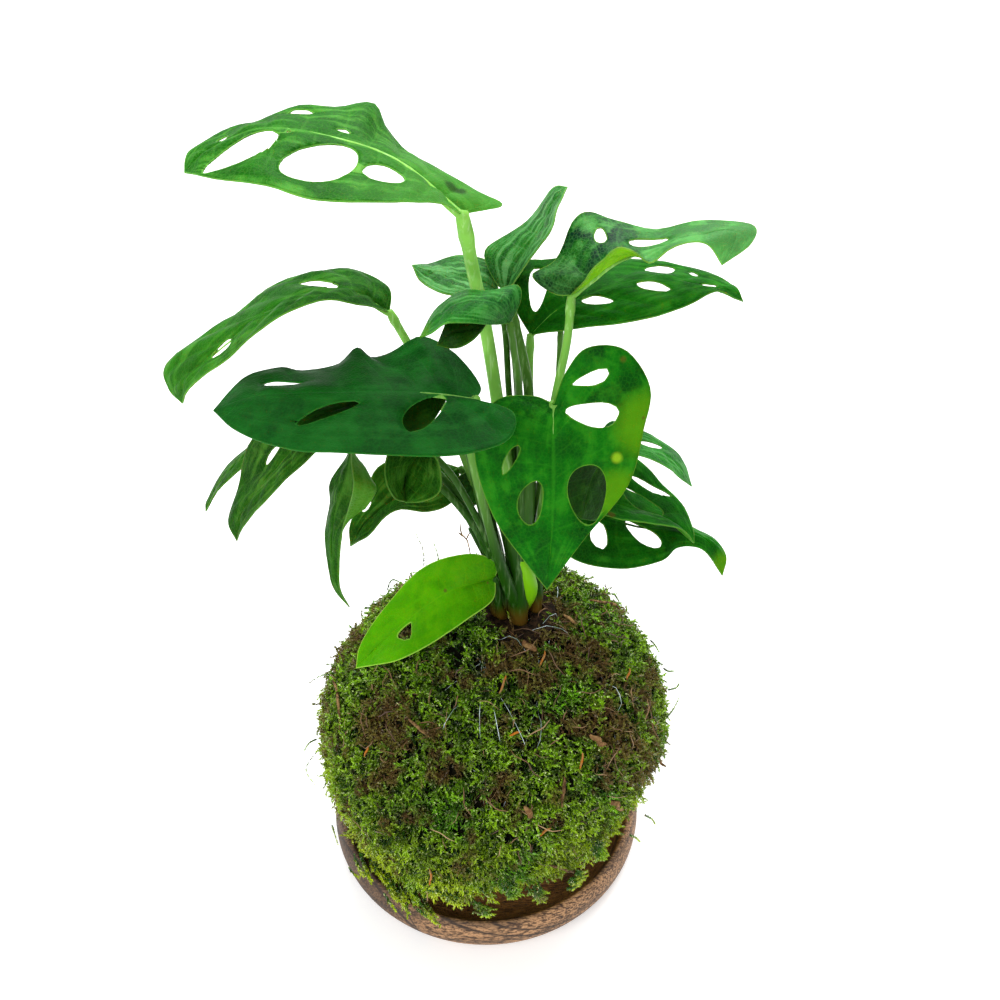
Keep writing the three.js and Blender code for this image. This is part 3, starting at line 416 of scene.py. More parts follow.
# %% Leaf routes
LEAVES = {
    "leaf_top": {
        "age": "top", "veins": 11, "quilt": 0.5, "cells": (58, 76),
        "midrib": [(-4, -6, 267), (-19, -2, 279), (-35, 1, 284), (-52, 2, 286), (-65, -1, 282),
            (-71, -6, 278)],
        "left": [(-4, -6, 267), (-9, -16, 275), (-20, -24, 279), (-34, -27, 281), (-47, -24, 283),
            (-62, -15, 281), (-71, -6, 278)],
        "right": [(-4, -6, 267), (6, -1, 267), (0, 3.5, 268.5), (-6, 8.5, 269.5), (-13, 12.5, 271.5),
            (-20, 16.5, 274.5), (-24, 20, 278), (-27, 24, 283), (-36, 24, 282), (-46, 21.5, 283.5),
            (-55, 16.5, 281.5), (-64, 12.5, 280.5), (-70.5, 4.5, 279.6), (-71.7, 0, 279), (-71, -6, 278)],
        "holes": [("left", 0.75, 0.38, 10.1, 4.6, 66, -0.25), ("left", 0.525, 0.43, 10.6, 7.0, 45, 0.3),
            ("left", 0.35, 0.42, 5.2, 3.9, 78, 0.3), ("right", 0.63, 0.68, 3.3, 2, -68),
            ("right", 0.5, 0.18, 1.7, 1.2, -81), ("left", 0.62, 0.06, 1.3, 0.8, 68),
            ("right", 0.8, 0.22, 1.5, 2.0, -79)],
    },
    "leaf_left_arching": {
        "age": "fresh", "veins": 9, "quilt": 0.6, "cells": (50, 66),
        "midrib": [(-25, 5, 232), (-36, 2, 241), (-49, -2, 241), (-65, -3, 231), (-81, -4, 217),
            (-84, -6, 209)],
        "left": [(-25, 5, 232), (-31, -6, 241), (-41, -11, 245), (-52, -13.5, 241.6), (-67, -12.5, 228.7),
            (-80, -8.6, 216.6), (-84, -6, 209)],
        "right": [(-25, 5, 232), (-26, 14, 235), (-37, 21, 236), (-55, 20, 234), (-73, 16, 223),
            (-90, 8, 214), (-89, 0, 210), (-84, -6, 209)],
        "holes": [("right", 0.39, 0.31, 7.2, 2.4, 28), ("left", 0.73, 0.18, 3.9, 2.2, 56)],
    },
    "leaf_front_broad": {
        "age": "deep", "veins": 9, "quilt": 0.35, "cells": (56, 72),
        "midrib": [(-1, -22, 222), (-12, -22, 224), (-23, -24, 226), (-45, -27, 228), (-58, -29, 228),
            (-68, -31, 225)],
        "left": [(-1, -22, 222), (9, -28, 222), (7, -36, 219), (-7, -43, 220), (-32, -47, 224),
            (-46, -46, 224), (-60, -40, 225), (-68, -31, 225)],
        "right": [(-1, -22, 222), (0, -14, 221), (-7, -5, 225), (-16, -1, 228), (-24, -2, 224),
            (-30, -3, 223), (-34, -2, 225), (-39, -6, 222), (-48, -9, 222), (-55, -9, 223), (-63, -15, 224),
            (-68, -31, 225)],
        "holes": [("right", 0.77, 0.41, 5, 2, -77), ("left", 0.63, 0.34, 8.8, 2, 58),
            ("left", 0.43, 0.34, 8.5, 3.6, 60)],
    },
    "leaf_front_heart": {
        "age": "heart", "veins": 9, "quilt": 0.4, "cells": (52, 66),
        "midrib": [(20, -14, 215), (20, -22, 203), (20, -29, 186), (19, -34, 163)],
        "left": [(20, -14, 215), (23, -9, 221), (29, -5, 227), (39.5, -6, 227), (46.5, -10, 217.5),
            (45, -16, 207), (41, -24, 194), (29, -31, 180), (19, -34, 163)],
        "right": [(20, -14, 215), (15, -11, 215), (5, -12, 215), (-1, -18, 209), (-1, -22, 198),
            (4, -28, 185), (12, -33, 174), (19, -34, 163)],
        "holes": [("left", 0.33, 0.64, 5.2, 1.7, 39, 0.5), ("left", 0.438, 0.46, 7.3, 3.3, 50, 0.2),
            ("left", 0.71, 0.42, 8.6, 5.4, -65), ("right", 0.67, 0.34, 6.5, 3.4, 76),
            ("right", 0.51, 0.54, 4.7, 1.4, 73)],
    },
    "leaf_small_arching": {
        "age": "sheen", "veins": 7, "quilt": 0.3, "cells": (34, 36),
        "midrib": [(8, -7, 236), (4, -10, 244), (-4, -14, 247), (-10, -18, 245), (-15, -20, 240)],
        "left": [(8, -7, 236), (3, -14, 240), (-3, -21, 245), (-8, -24, 247), (-12, -23, 243),
            (-15, -20, 240)],
        "right": [(8, -7, 236), (11, -2, 240), (10, 1, 243), (3, 0, 242), (-5, -4, 244), (-11, -11, 243),
            (-15, -20, 240)],
    },
    "leaf_back_left": {
        "age": "striped", "veins": 8, "quilt": 0.45, "cells": (28, 36),
        "midrib": [(5, 18, 231), (-3, 19, 234), (-11, 18, 237), (-19, 15, 241)],
        "left": [(5, 18, 231), (-1, 12, 233), (-9, 9, 235), (-16, 11, 238), (-19, 15, 241)],
        "right": [(5, 18, 231), (3, 25, 236), (-6, 29, 236), (-13, 27, 235), (-19, 15, 241)],
    },
    "leaf_back_upright": {
        "age": "striped", "veins": 9, "quilt": 0.4, "cells": (30, 42),
        "midrib": [(7, 16, 232), (11, 18, 240), (17, 22, 248), (21, 26, 255), (24, 28, 258)],
        "left": [(7, 16, 232), (4, 18, 234), (1, 25, 239), (6, 29, 242), (14, 33, 246), (20, 33, 255),
            (24, 28, 258)],
        "right": [(7, 16, 232), (9, 13, 236), (14, 12, 245), (19, 14, 252), (21, 19, 256), (24, 28, 258)],
    },
    "leaf_right_twisted": {
        "age": "mottled", "veins": 8, "quilt": 0.4, "cells": (46, 66),
        "midrib": [(24.7, 4.6, 237.6), (30, 5, 242), (34, 5, 246), (39, 7, 248), (47, 10, 249),
            (59, 13, 251), (69, 13, 252), (65, 6, 246)],
        "left": [(24.7, 4.6, 237.6), (20, 5, 238), (14, 6, 243), (20.5, 12.8, 243.8), (25.6, 22.5, 250.4),
            (30.3, 24.5, 252.4), (37, 22.6, 250.5), (48, 21.7, 248.7), (62, 21, 251), (74.4, 18, 251.6),
            (73.2, 12, 249),
            (65, 6, 246)],
        "right": [(24.7, 4.6, 237.6), (27, 0, 244), (29, 0, 248), (32, 0, 251), (36, 1, 254), (40, 1, 253),
            (45, 2, 249), (50, 4, 252), (56, 8, 252), (61, 8, 251), (65, 6, 246)],
        "holes": [("left", 0.45, 0.52, 2.9, 1.6, 10), ("left", 0.63, 0.32, 5.4, 2, 74)],
    },
    "leaf_right_long": {
        "age": "mid", "veins": 10, "quilt": 0.4, "cells": (50, 70),
        "midrib": [(14, 9, 222), (22, 12, 229), (32, 14, 233), (45, 16, 236), (56, 16, 235), (66, 15, 234),
            (73, 9, 233)],
        "left": [(14, 9, 222), (9, 16, 229), (11, 26, 235), (21, 33, 233), (38, 37, 231), (53, 35, 231),
            (64, 30, 231), (70, 22, 232), (72, 14, 234), (73, 9, 233)],
        "right": [(14, 9, 222), (23, 4, 227), (38, 1, 231), (47, 1, 233), (57, 4, 235), (65, 9, 236),
            (70, 9, 234), (73, 9, 233)],
        "holes": [("right", 0.4, 0.2, 4.6, 1.6, 19), ("right", 0.59, 0.28, 4.8, 2, 15),
            ("left", 0.59, 0.6, 4.3, 4, 54), ("left", 0.24, 0.52, 7.5, 2.7, 33),
            ("left", 0.69, 0.66, 1.3, 2, 40), ("left", 0.84, 0.08, 2.4, 1.1, 3)],
    },
    "leaf_right_small": {
        "age": "sheen", "veins": 7, "quilt": 0.3, "cells": (28, 42),
        "midrib": [(36, 16, 180), (52, 20, 173), (61, 20, 167), (68, 18, 158)],
        "left": [(36, 16, 180), (41, 24, 180), (53, 28, 172), (62, 28, 166), (66, 24, 162), (68, 18, 158)],
        "right": [(36, 16, 180), (40, 12, 178), (51, 13, 174), (59, 14, 169), (64, 16, 163), (68, 18, 158)],
        "holes": [("left", 0.47, 0.28, 5, 1.4, 41)],
    },
    "leaf_right_slotted": {
        "age": "mid", "veins": 7, "quilt": 0.3, "cells": (44, 52),
        "midrib": [(33, 10, 163), (46, 10, 156), (58, 10, 152), (69, 7, 143)],
        "left": [(33, 10, 163), (33, 18, 169), (41, 25, 170), (52, 27, 161), (59, 26, 153), (66, 20, 148),
            (69, 12, 145), (69, 7, 143)],
        "right": [(33, 10, 163), (34, 4, 161), (43, 1, 159), (54, 2, 156), (64, 4, 152), (69, 7, 143)],
        "holes": [("left", 0.54, 0.68, 8.8, 1.3, 64), ("left", 0.55, 0.2, 8, 3, 80)],
    },
    "leaf_right_low": {
        "age": "mid", "veins": 9, "quilt": 0.4, "cells": (48, 64),
        "midrib": [(24, 4, 161), (38, 8, 154), (51, 11, 147), (65, 13, 143), (75, 13, 138), (81, 10, 125)],
        "left": [(24, 4, 161), (28, 12, 161), (42, 20, 157), (51, 24, 150), (58, 26, 144), (72, 23, 135),
            (79, 18, 134), (82, 13, 131), (81, 10, 125)],
        "right": [(24, 4, 161), (20, -6, 159), (29, -8, 150), (44, -5, 143), (58, 0, 142), (64, 8, 140),
            (73, 10, 137), (81, 10, 125)],
        "holes": [("right", 0.52, 0.24, 7, 3.2, 55), ("right", 0.33, 0.4, 4.4, 3.3, 24)],
    },
    "leaf_left_low": {
        "age": "shaded", "veins": 8, "quilt": 0.4, "cells": (34, 46),
        "midrib": [(-48, 2, 196), (-56, 0, 188), (-63, -2, 180), (-72, -5, 169), (-76, -8, 158)],
        "left": [(-48, 2, 196), (-46, -4, 194), (-54, -8, 187), (-65, -11, 176), (-72, -10, 167),
            (-76, -8, 158)],
        "right": [(-48, 2, 196), (-58, 10, 192), (-71, 12, 182), (-76, 7, 169), (-79, -2, 162),
            (-76, -8, 158)],
        "holes": [("right", 0.45, 0.34, 4.5, 1.2, 52)],
    },
    "leaf_left_narrow": {
        "age": "shaded", "veins": 7, "quilt": 0.35, "cells": (24, 36),
        "midrib": [(-62, 17, 182), (-74, 15, 174), (-83, 12, 165), (-89, 8, 156)],
        "left": [(-62, 17, 182), (-65, 12, 179), (-77, 9, 171), (-85, 8, 164), (-89, 8, 156)],
        "right": [(-62, 17, 182), (-72, 22, 175), (-84, 19, 164), (-89, 12, 158), (-89, 8, 156)],
    },
    "leaf_hanging_rolled": {
        "age": "shaded", "veins": 8, "quilt": 0.35, "cells": (40, 52), "bow": (8, -3, 0),
        "midrib": [(-37, -10, 197), (-39, -14, 188), (-43, -17, 177), (-45, -19, 160), (-44.5, -20.5, 151),
            (-41, -22, 143)],
        "left": [(-37, -10, 197), (-36, -20, 199), (-35, -27, 196), (-38, -24, 184), (-41, -21, 173),
            (-43, -20, 157), (-43.2, -21.5, 150), (-41, -22, 143)],
        "right": [(-37, -10, 197), (-39, -9, 192), (-44, -9, 183), (-45, -11, 177), (-47, -15, 167),
            (-46.2, -18, 156), (-45.4, -20, 149), (-41, -22, 143)],
    },
    "leaf_centre_cupped": {
        "age": "shaded", "veins": 6, "quilt": 0.3, "cells": (30, 30),
        "midrib": [(-16, -8, 195), (-21, -8, 188), (-23, -10, 182), (-22, -14, 179)],
        "left": [(-16, -8, 195), (-12, -14, 194), (-12, -18, 187), (-17, -18, 183), (-22, -14, 179)],
        "right": [(-16, -8, 195), (-25, -12, 198), (-27, -18, 193), (-25, -18, 185), (-22, -14, 179)],
    },
    "leaf_centre_ragged": {
        "age": "shaded", "veins": 7, "quilt": 0.35, "cells": (36, 42),
        "midrib": [(-7, 8, 174), (-17, 6, 171), (-28, 3, 165), (-36, 0, 159), (-42, -3, 151)],
        "left": [(-7, 8, 174), (-8, 2, 168), (-12, -1, 165.5), (-18, -2, 164.5), (-25, -3, 166.5), (-30, -4, 164),
            (-35, -6, 159), (-39, -6, 156), (-42, -3, 151)],
        "right": [(-7, 8, 174), (-13, 12, 173), (-24, 14, 173), (-33, 12, 171), (-38, 7, 163),
            (-42, 1, 157), (-42, -3, 151)],
        "holes": [("right", 0.54, 0.6, 1.3, 0.8, -13), ("right", 0.71, 0.62, 2.1, 1, 65),
            ("right", 0.33, 0.22, 1.6, 0.7, 29), ("left", 0.38, 0.36, 1.7, 1.1, 88)],
    },
    "leaf_low_bright": {
        "age": "lime", "veins": 8, "quilt": 0.2, "cells": (38, 48),
        "midrib": [(4, -5, 139), (-12, -6, 133), (-28, -12, 123), (-42, -19, 111)],
        "left": [(4, -5, 139), (3, -11, 135), (-5, -16, 131), (-17, -22, 126), (-29, -24, 120),
            (-42, -19, 111)],
        "right": [(4, -5, 139), (4, -4, 145), (-5, 1, 144), (-20, 5, 134), (-30, -1, 126), (-40, -12, 117),
            (-42, -19, 111)],
        "holes": [("left", 0.7, 0.3, 3.1, 2.4, 41, 0.55)],
    },
}
# Dark leaf-shaped sheets deep in the bush: painted shade seen through the holes of the big leaves.
LEAVES |= {
    "leaf_inner_right": {
        "age": "inner_shade", "veins": 6, "quilt": 0.3, "cells": (24, 24),
        "midrib": [(38, 2, 186), (33, -2, 178), (30, -8, 167)],
        "left": [(38, 2, 186), (41, 2, 172), (36, -4, 164), (30, -8, 167)],
        "right": [(38, 2, 186), (27, -2, 190), (22, -6, 177), (30, -8, 167)],
    },
    "leaf_inner_left": {
        "age": "inner_shade", "veins": 6, "quilt": 0.3, "cells": (24, 30),
        "midrib": [(-8, -14, 218), (-22, -16, 218), (-35, -18, 217), (-51, -20, 212)],
        "left": [(-8, -14, 218), (-16, -24, 213), (-34, -26, 214), (-51, -20, 212)],
        "right": [(-8, -14, 218), (-14, -8, 217), (-33, -10, 218), (-49, -14, 214), (-51, -20, 212)],
    },
    "leaf_inner_curled": {
        "age": "inner_shade", "veins": 6, "quilt": 0.5, "cells": (20, 20),
        "midrib": [(2, -10, 238), (-3, -14, 238), (-7, -16, 239), (-11, -16, 235)],
        "left": [(2, -10, 238), (-1, -18, 238), (-6, -19, 236), (-11, -16, 235)],
        "right": [(2, -10, 238), (-3, -10, 240), (-8, -12, 241), (-9, -14, 239), (-11, -16, 235)],
    },
    "leaf_inner_low": {
        "age": "inner_shade", "veins": 6, "quilt": 0.4, "cells": (20, 20),
        "midrib": [(-1, 4, 178), (-4, 2, 172), (-6, -1, 165)],
        "left": [(-1, 4, 178), (1, 3, 171), (-2, 0, 166), (-6, -1, 165)],
        "right": [(-1, 4, 178), (-8, 2, 175), (-9, 0, 169), (-6, -1, 165)],
    },
}
print(len(LEAVES), "leaves,", sum(len(leaf.get("holes", ())) for leaf in LEAVES.values()), "holes")

# %% [markdown]
# Two small helpers turn the routes into a surface. The first runs a smooth line through points. The second lays a
# point between midrib and margin, and its slopes give the blade's own directions: outward, forward and up.


# %% Blade surface
VEIN_FAN = 1.35
SLOPE_STEP = 0.02


def smooth_line(points, places):
    route = np.array(points, float)
    route = np.vstack([2 * route[0] - route[1], route, 2 * route[-1] - route[-2]])
    spot = np.clip(places, 0.0, 1.0) * (len(points) - 1)
    first = np.minimum(spot.astype(int), len(points) - 2)
    w = (spot - first)[:, None]
    a, b, c, d = (route[first + step] for step in range(4))
    return ((2 * w**3 - 3 * w**2 + 1) * b + (w**3 - 2 * w**2 + w) * 0.5 * (c - a)
            + (3 * w**2 - 2 * w**3) * c + (w**3 - w**2) * 0.5 * (d - b))


def laid_route(points, steps):
    t = np.linspace(0.0, 1.0, steps)
    return t, smooth_line(points, t)


def blade_point(leaf, along, across):
    out = np.abs(across)[:, None]
    left = (across < 0)[:, None]
    middle = smooth_line(leaf["midrib"], along**VEIN_FAN)
    margin = np.where(left, smooth_line(leaf["left"], along), smooth_line(leaf["right"], along))
    amount = 4 * out * (1 - out) * np.sin(np.pi * np.clip(along[:, None] * 1.6, 0.0, 1.0)) ** 2
    return middle + (margin - middle) * out + np.where(left, amount, 0.0) * np.array(leaf.get("bow", (0, 0, 0)))


def blade_axes(leaf, along, across):
    t, v = np.array([along]), np.array([across])
    outward = (blade_point(leaf, t, v + SLOPE_STEP) - blade_point(leaf, t, v - SLOPE_STEP))[0]
    forward = (blade_point(leaf, t + SLOPE_STEP, v) - blade_point(leaf, t - SLOPE_STEP, v))[0]
    up = np.cross(outward, forward)
    return outward / np.linalg.norm(outward), up / np.linalg.norm(up)


print("leaf_top is", round(float(np.linalg.norm(np.subtract(LEAVES["leaf_top"]["midrib"][-1],
                                                            LEAVES["leaf_top"]["midrib"][0])))), "mm long")

# %% [markdown]
# The holes of this plant are part of how the leaf grows, so they are cut into the grid itself: the cells inside
# each oval are deleted, and the corners left on its edge slide onto the oval. A boolean cut would leave slivers
# in the mesh; sliding corners keeps the even grid, so that the veins still run cleanly up to the hole.


# %% Holes in a blade
HOLE_DEPTH = 7.0
FAR_OUTSIDE = (9.0, 0.0, 0.0)
RAGGEDNESS = 0.07


def hole_frame(leaf, side, along, across, long_half, short_half, turn, pear=0.0):
    outer = -across if side == "left" else across
    outward, up = blade_axes(leaf, along, outer)
    vein = outward * (1.0 if outer > 0 else -1.0)
    ahead = np.cross(up, outward)
    angle = math.radians(turn)
    first = math.cos(angle) * vein + math.sin(angle) * ahead
    second = math.cos(angle) * ahead - math.sin(angle) * vein
    centre = blade_point(leaf, np.array([along]), np.array([outer]))[0]
    return centre, first / long_half, second / short_half, up, long_half, short_half, pear


def oval_reach(frame_of_hole, point, wobble):
    centre, first, second, up, _, _, pear = frame_of_hole
    step = np.array(point) - centre
    if abs(step @ up) > HOLE_DEPTH:
        return FAR_OUTSIDE
    x, y = step @ first, step @ second
    ragged = 1.0 + RAGGEDNESS * math.sin(3.0 * math.atan2(y, x) + wobble)
    return math.hypot(x, y / (1.0 + pear * max(-1.0, min(1.0, x)))) / ragged, x, y


def cut_hole(bm, hole_of_leaf, wobble):
    _, first, second, _, long_half, short_half, _ = hole_of_leaf
    inside = [face for face in bm.faces
              if oval_reach(hole_of_leaf, face.calc_center_median(), wobble)[0] < 1.0]
    rim = {vert for face in inside for vert in face.verts if not vert.is_boundary}
    bmesh.ops.delete(bm, geom=inside, context="FACES")
    rim = [vert for vert in rim if vert.is_valid and vert.link_faces]
    ring = set()
    for vert in rim:
        for _ in range(3):
            reach, x, y = oval_reach(hole_of_leaf, vert.co, wobble)
            pull = 1.0 / max(reach, 0.25) - 1.0
            vert.co += Vector(pull * x * first * long_half**2 + pull * y * second * short_half**2)
        ring |= {edge.other_vert(vert) for edge in vert.link_edges}
    ring = [vert for vert in ring if not vert.is_boundary]
    bmesh.ops.smooth_vert(bm, verts=ring, factor=0.5, use_axis_x=True, use_axis_y=True, use_axis_z=True)


print("hole cutter ready")

# %% [markdown]
# A real blade isn't flat between its veins. The midrib and the side veins lie in grooves, the skin swells between
# them like a quilt, and the margin waves a little. The grid starts as a flat sheet from the grid operator, is laid
# on the surface, has its holes cut, and is then lifted along its own normals. The readings for the leaf skin
# are stored on its corners, and a Solidify modifier gives it a real thickness and its own underside.

# %% Leaf blades
BLADE_THICKNESS = 0.4 * MM


def margin_distance(bm):
    border = [vert for vert in bm.verts if vert.is_boundary]
    tree = kdtree.KDTree(2 * len(border))
    for i, vert in enumerate(border):
        tree.insert(vert.co, 2 * i)
        ahead = [edge.other_vert(vert) for edge in vert.link_edges if edge.is_boundary]
        tree.insert((vert.co + ahead[0].co) / 2, 2 * i + 1)
    tree.balance()
    return [tree.find(vert.co)[2] for vert in bm.verts]


def relief(leaf, along, across, edge, spot):
    reach = abs(across)
    phase = (along - VEIN_LEAN * reach**2) * leaf["veins"] + (VEIN_SHIFT if across < 0 else 0.0)
    off_vein = abs(phase % 1.0 - 0.5)
    ends = min(1.0, 6.0 * along, 6.0 * (1.0 - along))
    swell = math.sin(math.pi * off_vein) ** 0.8 * min(1.0, reach / 0.16) * min(1.0, edge / 4.0)
    groove = -0.5 * math.exp(-((reach / 0.05) ** 2))
    wave = noise.noise(spot * 0.09) * 1.5 * reach**2 + noise.noise(spot * 0.35) * 0.25
    return ends * (leaf["quilt"] * (1.7 * swell + groove) + 0.5 * wave)


def make_leaf(leaf, number):
    columns, rows = leaf["cells"]
    bm = bmesh.new()
    bmesh.ops.create_grid(bm, x_segments=columns, y_segments=rows, size=1.0)
    layers = {key: bm.verts.layers.float.new(key) for key in ("along", "across", "edge")}
    flat = np.array([vert.co[:2] for vert in bm.verts])
    along = 0.5 - 0.5 * np.cos(np.pi * (flat[:, 1] + 1.0) / 2)
    places = blade_point(leaf, along, flat[:, 0])
    for vert, spot, t, v in zip(bm.verts, places, along, flat[:, 0]):
        vert.co = spot
        vert[layers["along"]], vert[layers["across"]] = t, v
    for wobble, entry in enumerate(leaf.get("holes", ())):
        cut_hole(bm, hole_frame(leaf, *entry), wobble + number)
    bmesh.ops.remove_doubles(bm, verts=bm.verts, dist=0.02)
    edges = margin_distance(bm)
    bm.normal_update()
    for vert, edge in zip(bm.verts, edges):
        lift = relief(leaf, vert[layers["along"]], vert[layers["across"]], edge, vert.co)
        vert[layers["edge"]] = edge
        vert.co = vert.co + lift * vert.normal
    return bm


for number, (name, leaf) in enumerate(LEAVES.items()):
    blade = make_leaf(leaf, number)
    piece = finish_object(name.replace("leaf", "blade"), blade, leaf_materials(name, leaf["age"], leaf["veins"]),
                          [name] if name in NODE_SLOTS else [])
    skin = piece.modifiers.new("thickness", "SOLIDIFY")
    skin.thickness = BLADE_THICKNESS
    skin.offset = 0.0
    skin.material_offset = 1

# %% [markdown]
# The leaf stalks are round and sappy, widest at the foot, where each one sheathes the stem, and a little swollen
# again just below its blade. Past that swelling the stalk runs on under the blade as a tapering midrib. Each is
# one ring of corners, extruded along its route and resized at every step. A curve with a bevel would be
# quicker, but its thickness can't swell and taper as freely.


# %% Tube along a route
def tube(bm, route, radii, sides, layer=None):
    last = len(route) - 1
    turn = Vector((0, 0, 1)).rotation_difference(Vector(route[1] - route[0]))
    frames = []
    for step, (spot, radius) in enumerate(zip(route, radii)):
        ahead = Vector(route[min(step + 1, last)] - route[max(step - 1, 0)]).normalized()
        turn = (turn @ Vector((0, 0, 1))).rotation_difference(ahead) @ turn
        frames.append(Matrix.LocRotScale(Vector(spot), turn, Vector((radius, radius, radius))))
    ring = bmesh.ops.create_circle(bm, cap_ends=True, segments=sides, radius=1.0, matrix=frames[0])["verts"]
    edges = list({edge for vert in ring for edge in vert.link_edges})
    for step in range(1, last + 1):
        made = bmesh.ops.extrude_edge_only(bm, edges=edges)["geom"]
        ring = [item for item in made if isinstance(item, bmesh.types.BMVert)]
        edges = [item for item in made if isinstance(item, bmesh.types.BMEdge) and not item.is_manifold]
        bmesh.ops.transform(bm, matrix=frames[step] @ frames[step - 1].inverted(), verts=ring)
        if layer:
            for vert in ring:
                vert[layer] = step / last
    bmesh.ops.contextual_create(bm, geom=edges)


print("tube helper ready")

# %% [markdown]
# Three short stems stand in the soil, each with its own leaf stalks. The routes are those of the model's stems,
# in millimetres, and the leaf that each stalk carries is named, so that the midrib can follow its blade. Some
# carry no leaf of their own here: old sheaths that fill the bundle, and thin stalks that pass behind the others.
# Stalks in the light are painted a pale sappy green and those behind them a dark green, painted shade, so each
# one carries its own light tone; low in the bundle all stay dark, painted shade under the leaves.

# %% Stems and leaf stalks
STEMS = {
    "stems_left": {
        "radius": 2.2, "stem": [(6, -1, 106), (6, -1, 120), (5.5, -1, 143)],
        "stalks": [
            (1.3, "leaf_left_arching", [(6, -1, 136), (3, 0, 150), (-4, 3, 177), (-12, 4, 203), (-21, 5, 223),
                (-25, 5, 232)]),
            (1.1, "leaf_left_low", [(6, -1, 134), (-3, -1, 162), (-18, 1, 184), (-34, 3, 195), (-48, 2, 196)]),
            (1.0, "leaf_left_narrow", [(6, 0, 130), (-7, 9, 157), (-27, 18, 174), (-47, 19, 185),
                (-62, 17, 182)]),
            (1.2, "leaf_hanging_rolled", [(6, -1, 136), (-3, -2, 160), (-16, -4, 181), (-29, -6, 194),
                (-37, -10, 197)]),
            (1.1, "leaf_centre_cupped", [(6, -1, 138), (0, -5, 160), (-8, -8, 183), (-16, -8, 195)]),
            (1.2, "leaf_centre_ragged", [(6, 0, 136), (4, 4, 150), (-1, 7, 165), (-7, 8, 174)]),
            (1.3, "leaf_low_bright", [(6, -2, 118), (5, -4.5, 126), (4.5, -5.5, 133), (4, -5, 139)]),
            (0.9, "leaf_inner_left", [(6, -1, 136), (0, -5, 165), (-4, -9, 195), (-8, -14, 218)]),
            (0.8, "leaf_inner_low", [(6, 0, 138), (3, 3, 158), (0, 4, 172), (-1, 4, 178)]),
            (0.8, "behind", [(5, 0, 126), (2, 1, 138), (-0.1, 2, 143.3), (-2.3, 3, 148.2), (-4.2, 4, 152.5)]),
            (2.3, "sheath", [(5, 0, 116), (5.1, -1, 130.3), (2.8, 0, 142.1), (-1, 2, 153.4), (-5.6, 5, 162.2),
                (-9.4, 8, 166.3)]),
        ]},
    "stems_main": {
        "radius": 3.0, "stem": [(12, -3, 106), (12, -3, 112), (11.5, -3, 128), (11, -2.5, 152)],
        "stalks": [
            (1.95, "leaf_top", [(11.5, -3, 130), (8.3, -1, 170), (4.6, 2, 204), (1.2, 4, 229), (-1.6, 3, 245),
                (-4, -6, 267)]),
            (1.5, "leaf_front_broad", [(11, -4, 124), (5, -7.5, 150), (0, -9, 176), (-3.5, -12, 203),
                (-1, -22, 222)]),
            (1.1, "leaf_small_arching", [(12, -3, 140), (12, -3, 165), (11, -4, 208), (9, -6, 228),
                (8, -7, 236)]),
            (1.0, "leaf_back_left", [(11, -1.5, 145), (10, 3, 178), (8, 7, 204), (7, 12, 220), (5, 18, 231)]),
            (1.0, "leaf_back_upright", [(11, -1.5, 145), (11, 4, 185), (10, 8, 210), (7, 16, 232)]),
            (1.2, "behind", [(12.5, -1, 150), (12, 2, 180), (10.9, 4, 203.7), (10.6, 5, 212.8), (9.9, 6, 220),
                (9, 9, 230)]),
            (1.5, "behind", [(13, -2, 146), (14.4, -2, 180), (13.7, -1, 206.6), (12.9, 1, 214), (11, 3, 222.7),
                (8.4, 6, 232)]),
            (2.3, "sheath", [(11.5, -2, 116), (10.3, -2, 137.3), (7.9, 0, 153.1), (4.5, 1, 167), (1.1, 3, 180.5)]),
        ]},
    "stems_right": {
        "radius": 2.1, "stem": [(17.5, 2, 106), (17.5, 2, 130), (17, 2.5, 168)],
        "stalks": [
            (1.3, "leaf_front_heart", [(17.5, 2, 148), (18.5, -3, 168), (19.5, -8, 190), (20, -11, 204),
                (20, -14, 215)]),
            (1.3, "leaf_right_twisted", [(17, 2, 160), (18.6, 1, 178), (21, -1, 206), (23.8, 0, 225),
                (24.8, 4.4, 237)]),
            (0.9, "leaf_inner_right", [(17.5, 2, 150), (22, 3, 164), (30, 4, 178), (38, 2, 186)]),
            (0.85, "behind", [(18, 3, 160), (21.5, 7, 185), (22.3, 8, 200.1), (22.4, 9, 210), (22.7, 11, 224.5)]),
            (1.2, "leaf_right_long", [(17, 3, 155), (15, 4, 175), (14, 6, 204), (14, 9, 222)]),
            (1.0, "leaf_right_small", [(17, 3, 162), (24, 8, 174), (31, 13, 181), (36, 16, 180)]),
            (1.0, "leaf_right_slotted", [(17, 3, 160), (23, 6, 168), (29, 9, 168), (33, 10, 163)]),
            (1.1, "leaf_right_low", [(17.5, 2, 146), (20, 2.5, 155), (22, 3.5, 160), (24, 4, 161)]),
        ]},
}

STEM_STEPS, STALK_STEPS, RIB_STEPS = 22, 30, 14
# Painted light: how far each stalk is painted pale; the rest of its colour stays dark as painted shade.
SHADED_TONE = 0.15
STALK_LIGHT_TONES = {"leaf_top": 1.0, "leaf_left_arching": 0.75, "leaf_right_twisted": 0.7, "leaf_front_broad": 0.5,
               "leaf_right_long": 0.7, "leaf_front_heart": 0.5, "leaf_centre_ragged": 0.4, "behind": 0.2}


